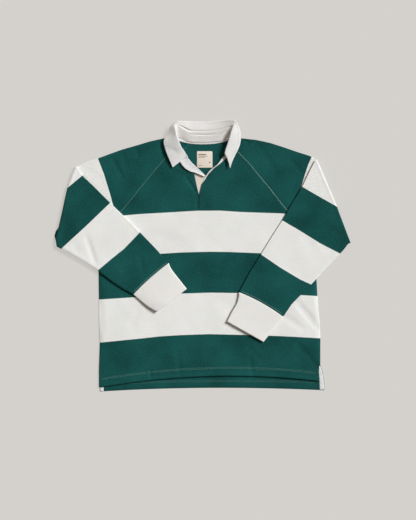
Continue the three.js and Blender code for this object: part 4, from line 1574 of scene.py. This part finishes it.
def left_sleeve() -> Sleeve:
    """Describe the sleeve on the left as seen from above."""
    return Sleeve(
        side="left",
        upper_arm=(
            (-77.3, 305.2, -89.6, 331.5, -38.1, 318.1, 0),
            (-91.3, 292.6, -109.5, 329, -59.1, 294, 0),
            (-109.5, 271.6, -147.3, 320.6, -89.9, 263.2, 0),
            (-147.3, 226.8, -189.3, 308, -127.7, 221.2, 0),
            (-175.3, 193.2, -225.7, 297.6, -158.5, 184.8, 0),
            (-203.3, 156.8, -259.3, 285.6, -192.1, 145.6, 0),
            (-241.1, 113.7, -292.9, 273, -234.1, 98, 0.8),
            (-278.9, 44.8, -323.7, 263.2, -278.9, 44.8, 2.3),
        ),
        elbow_top=(-350, 249.2),
        elbow_under=(-400.4, 42),
        top_reach=1.0,
        under_reach=2.1,
        forearm=(
            (-345.5, 239.4, -397, 21.3, 0.9),
            (-332.1, 220.6, -382.5, 13.4, 0.7),
            (-306.9, 197.1, -354.5, -2.2, 0.4),
            (-278.9, 169.1, -323.7, -20.7, 0),
            (-245.3, 136.1, -292.9, -40.6, 0),
            (-206.1, 98.6, -262.1, -63.8, 0),
            (-169.7, 60.5, -239.7, -79.8, 0),
            (-133.3, 23, -217.3, -94.1, 0),
            (-95.8, -18.5, -194.3, -106.4, 0),
        ),
        cuff_rows=(
            (-94.4, -19.9, -193.2, -107.8, 0, 0),
            (-86.2, -37.5, -179.5, -119.6, 0, 1.5),
            (-63.3, -67.2, -152.9, -140.6, 1.5, 5),
            (-44.5, -91, -127.1, -155.1, 3, 8),
        ),
        upper_creases=LEFT_SLEEVE_CREASES,
        forearm_creases=LEFT_FOREARM_CREASES,
        hoop_upper=(
            (-292.9, 273), (-276.1, 229.6), (-264.9, 193.2), (-257.9, 170.8), (-250.9, 144.2),
            (-241.1, 113.7),
        ),
        hoop_corner=((-336.3, 224), (-378.3, 189)),
        hoop_start=((-257.9, 148.4), (-326.5, 82.6), (-395.1, 19.6)),
        hoop_end=((-175.3, 65.8), (-218.4, 20.7), (-255.9, -9.5), (-292.9, -40.9)),
        corner_width=107,
        fold_bow=((0, 0), (0.2, 0), (0.4, 2), (0.55, 4), (0.7, 5.5), (0.85, 3.5), (1, 0)),
        elbow_bulge=7.4,
        elbow_tuck=17.0,
        seam_bow=2.6,
        cuff_roll=4.2,
        hand=1,
    )


def right_sleeve() -> Sleeve:
    """Describe the sleeve on the right as seen from above."""
    return Sleeve(
        side="right",
        upper_arm=(
            (79.5, 315, 94.6, 331, 51.5, 320.3, 0),
            (99.1, 294, 115.9, 328.4, 66.9, 298.2, 0),
            (132.7, 259, 149.5, 324.8, 99.1, 264.6, 0),
            (160.7, 225.4, 188.7, 316.4, 139.7, 222.6, 0),
            (188.7, 191.8, 227.9, 303.8, 173.3, 186.2, 0),
            (216.7, 155.4, 264.3, 291.2, 208.3, 147, 0),
            (248.9, 116.2, 297.9, 280.6, 253.1, 99.4, 0.8),
            (303.5, 46.2, 310.8, 274.4, 303.5, 46.2, 2.3),
        ),
        elbow_top=(314.2, 267.1),
        elbow_under=(406.6, 35),
        top_reach=1.0,
        under_reach=1.2,
        forearm=(
            (297.9, 235.2, 390.3, 14, 0.7),
            (278.3, 194, 367.9, -8.4, 0.4),
            (250.3, 148.4, 344.1, -33.6, 0),
            (222.3, 99.4, 320.3, -59.9, 0),
            (192.9, 53.2, 296.5, -86.2, 0),
            (163.5, 5.6, 272.7, -109.2, 0),
            (132.7, -43.4, 247.5, -135.2, 0),
            (102.5, -99.4, 225.7, -168, 0),
        ),
        cuff_rows=(
            (101.6, -101.4, 224.8, -170.2, 0, 0),
            (96.3, -128.8, 208, -191.2, 0, 0),
            (82.3, -154, 189.6, -215.6, 0, 0),
            (68.3, -182, 170.5, -239.4, 1, 1),
        ),
        upper_creases=RIGHT_SLEEVE_CREASES,
        forearm_creases=RIGHT_FOREARM_CREASES,
        hoop_upper=(
            (248.9, 116.2), (264.3, 156.8), (278.3, 201.6), (286.7, 229.6), (295.1, 254.8),
            (305.5, 278.6),
        ),
        hoop_corner=((376.3, 137.2), (328.7, 163.8), (278.3, 193.2)),
        hoop_start=((383.3, 7), (328.7, 35), (272.7, 70), (222.3, 99.4)),
        hoop_end=((303.5, -79.8), (272.7, -65.8), (216.7, -32.2), (163.5, 4.2)),
        corner_width=113,
        fold_bow=((0, 0), (0.3, 1.5), (0.45, 2.6), (0.7, 1.5), (1, 0)),
        elbow_bulge=0.0,
        elbow_tuck=0.0,
        seam_bow=4.2,
        cuff_roll=0.4,
        hand=-1,
    )


@dataclass
class Collar:
    """The collar, the tape over its seam and the label inside the neck."""

    # Each section: neck seam, roll and outer edge in plan, and their heights.
    sections: Rows = (
        (-39.8, 267.7, -44, 277.5, -83.4, 247.8, 7.6, 8.7, 11),
        (-50.4, 279.4, -51.5, 290.6, -91.3, 266, 8.0, 14.5, 13),
        (-63.8, 294, -60.5, 303.5, -103.6, 296.8, 7.6, 20.5, 14.5),
        (-73.4, 309.7, -68, 322, -108.1, 322, 6.9, 24, 15),
        (-76.2, 322, -73.1, 340.5, -96.3, 341.6, 5.2, 25, 15),
        (-73.1, 329.3, -75.6, 358.4, -87.9, 362.9, 3.4, 23, 17.5),
        (-61.9, 329.8, -67.2, 361.2, -71.7, 374.1, 2.6, 17, 21),
        (-38.1, 320, -38.1, 350, -38.1, 375.2, 4.0, 12, 12),
        (-15.7, 318.4, -15.7, 350, -15.7, 374.6, 4.0, 11, 10),
        (6.7, 318.1, 6.7, 350, 6.7, 374.6, 4.0, 11, 9.5),
        (29.1, 319.5, 29.1, 351.7, 29.1, 375.8, 4.0, 12, 11),
        (51.5, 322.3, 52.9, 354.5, 54.3, 377.2, 4.0, 14, 15),
        (68.3, 330.4, 73.9, 361.2, 79.5, 378.3, 2.8, 18, 22),
        (79, 331, 84, 361.2, 93.5, 373, 3.6, 23, 25),
        (81.8, 323.7, 80.6, 347.2, 104.2, 350, 5.4, 26, 20),
        (80.6, 313.6, 75.6, 329.3, 106.4, 329, 7, 25, 16),
        (76.2, 299.6, 70, 310.8, 102.5, 306.6, 10, 23, 15),
        (71.1, 285.6, 64.4, 294, 92.4, 285, 10.6, 21, 15),
        (68.3, 275.5, 63.3, 282.2, 82.9, 264.9, 11, 19, 16),
        (70, 268.2, 69.4, 273.8, 76.7, 245, 12, 17, 15.5),
    )
    tape_line: Line = (
        (-70.6, 323.1), (-64.4, 320.9), (-52.1, 317.8), (-35.3, 314.4), (-15.7, 312.8),
        (6.7, 312.5), (29.1, 313.6), (48.7, 317), (72.2, 322.3), (79.5, 324.2),
    )
    width: float = 64.0
    tape_width: float = 7.5
    tape_bow: float = 0.25
    tape_seams: Point = (1.5, 6.0)
    label_centre: Point = (5.9, 270.2)
    label_size: Point = (43.4, 46.2)
    label_corner: float = 2.6
    label_bevel: float = 1.2
    label_bevel_drop: float = 0.35
    label_seam_inset: float = 2.2
    label_bar_rise: float = 0.12
    # Each bar: its place from the label's centre, its width and its height.
    label_bars: Rows = (
        (-7, 13.5, 22, 3.2), (-5, 9, 26, 1.4), (-9, 5.6, 18, 1.4), (14, -8, 4, 3),
        (-12, -17, 12, 1.4),
    )

    def _middle(self) -> np.ndarray:
        """Loft the collar's middle surface.

        Returns:
            A grid of points, section by section.
        """
        rows = smooth_rows(list(self.sections), 10)
        grid = []
        for row in rows:
            neck, roll, edge = (row[[2 * k, 2 * k + 1, 6 + k]] for k in range(3))
            stand, leaf = (
                math.sqrt(max(np.linalg.norm(step), 1e-3)) for step in (roll - neck, edge - roll)
            )
            share = stand / (stand + leaf)
            slope = (edge - neck) * 0.5
            points = []
            for t in np.linspace(0, 1, 49):
                if t <= share:
                    span = (neck, roll, (roll - neck) * 1.4, slope * share * 1.6, t / share)
                else:
                    rest = 1 - share
                    span = (roll, edge, slope * rest * 1.6, (edge - roll) * 1.1, (t - share) / rest)
                points.append(self._hermite(*span))
            grid.append(points)
        return np.array(grid)

    @staticmethod
    def _hermite(
        start: np.ndarray, end: np.ndarray, leave: np.ndarray, arrive: np.ndarray, t: float
    ) -> np.ndarray:
        """Place a point on a curve between two points with given slopes.

        Args:
            start: The first point.
            end: The last point.
            leave: The slope at the first point.
            arrive: The slope at the last point.
            t: From 0 to 1.

        Returns:
            The point.
        """
        t2, t3 = t * t, t * t * t
        return (
            (2 * t3 - 3 * t2 + 1) * start + (t3 - 2 * t2 + t) * leave
            + (3 * t2 - 2 * t3) * end + (t3 - t2) * arrive
        )

    @staticmethod
    def _normals(grid: np.ndarray) -> np.ndarray:
        """Give the unit normals of a grid of points."""
        return unit(np.cross(np.gradient(grid, axis=0), np.gradient(grid, axis=1)))

    @staticmethod
    def _creases(u: np.ndarray, v: np.ndarray) -> np.ndarray:
        """Give how deep the collar is creased.

        Args:
            u: Shares round the neck, from the left end to the right.
            v: Shares from the neck seam over the roll to the outer edge.

        Returns:
            The depth at each place.
        """
        behind = np.clip(np.minimum(u - 0.3, 0.69 - u) / 0.07, 0, 1)
        # A long crease behind the neck, deeper and wider at its ends, climbs at the left.
        ends = 3.3 * hump(u, 0.345, 0.028) + 0.9 * hump(u, 0.63, 0.04)
        depth = 0.45 + 1.4 * np.clip((0.57 - u) / 0.2, 0, 1) + ends
        climb = 0.12 * hump(u, 0.325, 0.03) - 0.02 * np.sin(u * 17)
        first = depth * hump(v, 0.53 + climb, 0.035 + 0.022 * hump(u, 0.34, 0.035))
        # A second one runs below it.
        depth = (0.35 + 1.5 * hump(u, 0.46, 0.06)) * np.clip((u - 0.36) / 0.04, 0, 1)
        second = depth * hump(v, 0.3 - 0.15 * (u - 0.46), 0.03)
        ripple = 0.5 * np.sin(u * 46 + 3 * v) * v * (1 - v) + 0.3 * np.sin(u * 27 - 5 * v) * v
        # Two soft creases cross the left leaf and a faint one the right.
        leaf = 1.2 * hump(u, 0.09 + 0.08 * (v - 0.7), 0.022)
        leaf = leaf + 1.0 * hump(u, 0.2 - 0.12 * (v - 0.7), 0.03)
        leaf = leaf + 0.6 * hump(u, 0.85 - 0.1 * (v - 0.7), 0.025)
        leaf = leaf * np.clip((v - 0.58) / 0.15, 0, 1)
        return (first + second) * behind + ripple + leaf

    def collar(self) -> None:
        """Build the collar with its soft creases."""
        grid = self._middle()
        rows, columns = grid.shape[:2]
        normal = self._normals(grid)
        u, v = np.linspace(0, 1, rows)[:, None], np.linspace(0, 1, columns)[None, :]
        sign = -1 if normal[rows // 2, columns // 2, 2] > 0 else 1
        grid = grid + normal * (sign * self._creases(u, v))[..., None]
        normal = self._normals(grid)
        outer = grid + normal * COLLAR_WALL / 2
        inner = grid - normal * COLLAR_WALL / 2
        points, faces, source = Wall(outer, inner, rim_bulge=0.35).arrays()
        across = np.linspace(0, self.width, columns)
        uv = np.stack(np.meshgrid(across, lengths_along(grid[:, -1])), axis=-1).reshape(-1, 2)
        uv = np.concatenate([uv, uv])[source]
        piece = make_piece("collar_drill", points, faces, Finish.DRILL, uv)
        settle(piece, ("collar",))
        # One row on each face, four steps in from the edge.
        lift = normal[4:-4, -5] * FINE_LIFT
        threads = [outer[4:-4, -5] + lift, inner[4:-4, -5] - lift]
        make_stitches(
            "collar_edge_stitching", threads, Finish.CREAM_THREAD, COLLAR_STITCH,
        )

    def neck_tape(self) -> None:
        """Build the tape over the collar seam and its two rows of stitches."""
        line = smooth_rows(list(self.tape_line), 8)
        shares = np.linspace(0, 1, 5)
        offset = np.stack([np.zeros(len(shares)), shares * self.tape_width], axis=-1)
        plan = line[:, None, :] + offset[None]
        top = INSIDE_LEVEL + DRILL_WALL
        high = raised(plan, top + self.tape_bow * np.sin(math.pi * shares))
        wall = Wall(high, raised(plan, INSIDE_LEVEL), rim_bulge=0.3)
        piece = drill_strip("neck_tape_strip", wall, "neck_tape")
        threads = [raised(line + np.array([0, up]), top + FINE_LIFT) for up in self.tape_seams]
        make_stitches(
            "neck_tape_stitching", threads, Finish.CREAM_THREAD, COLLAR_STITCH,
        )

    def _label_outline(self, inset: float) -> np.ndarray:
        """Place points round the label.

        Args:
            inset: How far inside the label's edge they lie.

        Returns:
            The points in plan, in order.
        """
        corner = self.label_corner - min(inset, self.label_corner * 0.6)
        half = np.array(self.label_size) / 2 - inset - corner
        points = []
        for side_x, side_y, start in ((1, -1, -90), (1, 1, 0), (-1, 1, 90), (-1, -1, 180)):
            middle = np.array(self.label_centre) + np.array([side_x, side_y]) * half
            for turn in np.radians(start + np.linspace(0, 90, 7)):
                points.append(middle + corner * np.array([math.cos(turn), math.sin(turn)]))
        return np.array(points)

    def label(self) -> None:
        """Build the bare label with plain woven bars and the stitches round it."""
        edge = self._label_outline(0)
        top = INSIDE_LEVEL + DRILL_WALL
        points = np.concatenate([
            raised(edge, INSIDE_LEVEL), raised(edge, top - self.label_bevel_drop),
            raised(self._label_outline(self.label_bevel), top),
        ])
        faces = stack_faces(len(edge), 3)
        piece = make_piece("neck_label", points, faces, Finish.LABEL, points[:, :2])
        settle(piece, ("label",))
        self._label_bars(top)
        loop = raised(self._label_outline(self.label_seam_inset), top)
        loop = np.concatenate([loop, loop[:1]])
        make_stitches("label_stitching", [loop], Finish.CREAM_THREAD, LABEL_STITCH)

    def _label_bars(self, top: float) -> None:
        """Lay plain bars where a label's woven lines go: no letters, only short lines.

        Args:
            top: The height of the label's face.
        """
        points, faces = [], []
        for x, y, width, height in self.label_bars:
            low_x = self.label_centre[0] + x - width / 2
            low_y = self.label_centre[1] + y - height / 2
            faces += [[len(points) + k for k in face] for face in stack_faces(4)]
            for level in (top, top + self.label_bar_rise):
                for dx, dy in ((0, 0), (width, 0), (width, height), (0, height)):
                    points.append((low_x + dx, low_y + dy, level))
        array = np.array(points)
        piece = make_piece("label_bars", array, faces, Finish.LABEL_BARS, array[:, :2])
        settle(piece)

    def build(self) -> None:
        """Build every piece of the neck."""
        self.collar()
        self.neck_tape()
        self.label()


@dataclass
class Placket:
    """The facings on both sides of the front opening and the underlap behind it."""

    # Each row: the folded edge, the free edge and the rise at the fold.
    left_facing: Rows = (
        (-51, 285.6, -63.3, 264.9, 1.2),
        (-40.9, 273.3, -57.1, 254.2, 1.7),
        (-29.7, 260.4, -46.5, 243.6, 1.2),
        (-18.5, 249.2, -33.6, 236.3, 1.4),
        (-7.3, 239.4, -20.2, 232.7, 1.0),
        (7.8, 224.6, 3.4, 222.9, 0.4),
    )
    right_facing: Rows = (
        (5, 218.4, -1.7, 198.8, 1.0),
        (10.1, 225.7, 9, 211.7, 2.4),
        (20.7, 239.4, 19.6, 225.7, 3.4),
        (40.3, 254.8, 40.3, 244.7, 3.6),
        (51.5, 268.8, 57.1, 259.3, 3.0),
        (60.5, 280, 72.8, 272.7, 1.2),
    )
    right_level: float = 3.0
    free_edge_lift: float = 2.4
    underlap: Line = (
        (-31.1, 238), (-23, 234.1), (9, 223.4), (29.1, 229.6), (29.1, 126), (-31.1, 126),
    )
    stitch_runs: tuple[Line, ...] = (
        ((34.2, 238), (33, 132.7)), ((-6.7, 133.8), (33, 132.7)), ((-6.7, 162.4), (33, 161.3)),
    )

    def _band(self, table: Rows, level: float) -> tuple[np.ndarray, np.ndarray]:
        """Lay out a narrow band between a folded edge and a free edge.

        Args:
            table: The band's rows.
            level: The height of its underside.

        Returns:
            The band's upper and lower grids.
        """
        rows = smooth_rows(list(table), 6)
        shares = np.linspace(0, 1, 11)
        plan = between(rows, len(shares))
        outside = level > FRONT_TOP
        # The outer facing rolls softly at its fold, the inner one curls up sharply.
        rise = rows[:, 4:5] * (1 - shares) ** (2 if outside else 5)
        rise = rise + (self.free_edge_lift * shares**2 if outside else edge_lift(plan))
        low = raised(plan, level + rise)
        return low + np.array([0, 0, DRILL_WALL]), low

    def facing(
        self, name: str, node: str, table: Rows, level: float,
    ) -> None:
        """Build one facing.

        Args:
            name: The piece's name.
            node: The node that it replaces.
            table: The band's rows.
            level: The height of its underside.
        """
        piece = drill_strip(name, Wall(*self._band(table, level), rim_bulge=0.4), node)

    def underlap_piece(self) -> None:
        """Build the underlap, flat behind the opening."""
        outline = np.array(self.underlap)
        levels = (INSIDE_LEVEL, INSIDE_LEVEL + DRILL_WALL)
        points = np.concatenate([raised(outline, level) for level in levels])
        faces = stack_faces(len(outline))
        # The underlap takes the drill with painted shade: warmer and darker than the lit drill.
        piece = make_piece("underlap_drill", points, faces, Finish.DRILL_PAINTED_SHADE, points[:, :2])
        piece.data.flip_normals()
        settle(piece, ("placket_underlap",))

    def stitching(self) -> None:
        """Sew the placket: one long row, and the box at its foot."""
        rows = []
        for run in self.stitch_runs:
            path = blend_rows(list(run), 3.0)
            rows.append(raised(path, front_surface(path) - crease_depth(FRONT_CREASES, path)))
        make_stitches(
            "placket_stitching", rows, Finish.GREEN_THREAD, PLACKET_STITCH,
        )

    def build(self) -> None:
        """Build every piece of the placket."""
        self.facing(
            "facing_left_turned", "facing_left", self.left_facing,
            FRONT_TOP + PLACKET_RISE + SEAM_GAP,
        )
        self.facing(
            "facing_right_inside", "facing_right", self.right_facing, self.right_level,
        )
        self.underlap_piece()
        self.stitching()


@dataclass
class Studio:
    """The floor, the lights and the camera straight above the shirt."""

    lens: float = 85.0
    frame_height_m: float = 1.456
    centre_mm: Point = (15.1, -11.2)
    sensor_mm: float = 36.0
    floor_half_m: float = 4.0
    floor_level_m: float = -0.0004
    sky_hue: str = "FBEDE2"
    sky_strength: float = 0.22

    def floor(self) -> None:
        """Lay the pale floor just under the shirt."""
        mesh = bpy.data.meshes.new("floor")
        half, level = self.floor_half_m, self.floor_level_m
        signs = ((-1, -1), (1, -1), (1, 1), (-1, 1))
        corners = [(x * half, y * half, level) for x, y in signs]
        mesh.from_pydata(corners, [], [(0, 1, 2, 3)])
        write_cloth(mesh, np.array(corners)[:, :2] / MM)
        mesh.materials.append(Finishes.get(Finish.FLOOR))
        add_object("floor", mesh)

    def sun(
        self, name: str, azimuth: float, height: float, spread: float, power: float, hue: str
    ) -> None:
        """Add a far soft light that reaches the whole table evenly.

        Args:
            name: The light's name.
            azimuth: Its direction in plan in degrees, from the right round towards the collar.
            height: Its angle above the table in degrees.
            spread: The angle that it fills, which softens the shadows' edges.
            power: Its power in watts for each square metre.
            hue: Its sRGB colour.
        """
        data = bpy.data.lights.new(name, "SUN")
        data.energy = power
        data.angle = math.radians(spread)
        data.color = linear(hue)[:3]
        turn, rise = math.radians(azimuth), math.radians(height)
        flat = math.cos(rise)
        toward = Vector((math.cos(turn) * flat, math.sin(turn) * flat, math.sin(rise)))
        light = add_object(name, data)
        light.location = toward * 3
        light.rotation_euler = toward.to_track_quat("Z", "Y").to_euler()

    def camera(self) -> None:
        """Set the camera straight above, upright with the collar at the top."""
        data = bpy.data.cameras.new("camera")
        data.lens = self.lens
        data.sensor_width = self.sensor_mm
        camera = add_object("camera", data)
        distance = self.frame_height_m * self.lens / self.sensor_mm
        camera.location = (self.centre_mm[0] * MM, self.centre_mm[1] * MM, distance)
        bpy.context.scene.camera = camera

    def build(self) -> None:
        """Build the whole studio."""
        self.floor()
        self.sun("key", azimuth=33.0, height=42.0, spread=20.0, power=3.68, hue="FDFEFF")
        world = bpy.data.worlds.new("studio")
        world.use_nodes = True
        sky = world.node_tree.nodes["Background"]
        sky.inputs["Color"].default_value = linear(self.sky_hue)
        sky.inputs["Strength"].default_value = self.sky_strength
        bpy.context.scene.world = world
        bpy.context.scene.view_settings.view_transform = "Standard"
        self.camera()


def main() -> None:
    """Build the studio, then the shirt's parts in order."""
    logging.basicConfig(level=logging.INFO, format="%(message)s")
    Studio().build()
    Body().build()
    left_sleeve().build()
    right_sleeve().build()
    Collar().build()
    Placket().build()


if __name__ == "__main__":
    main()
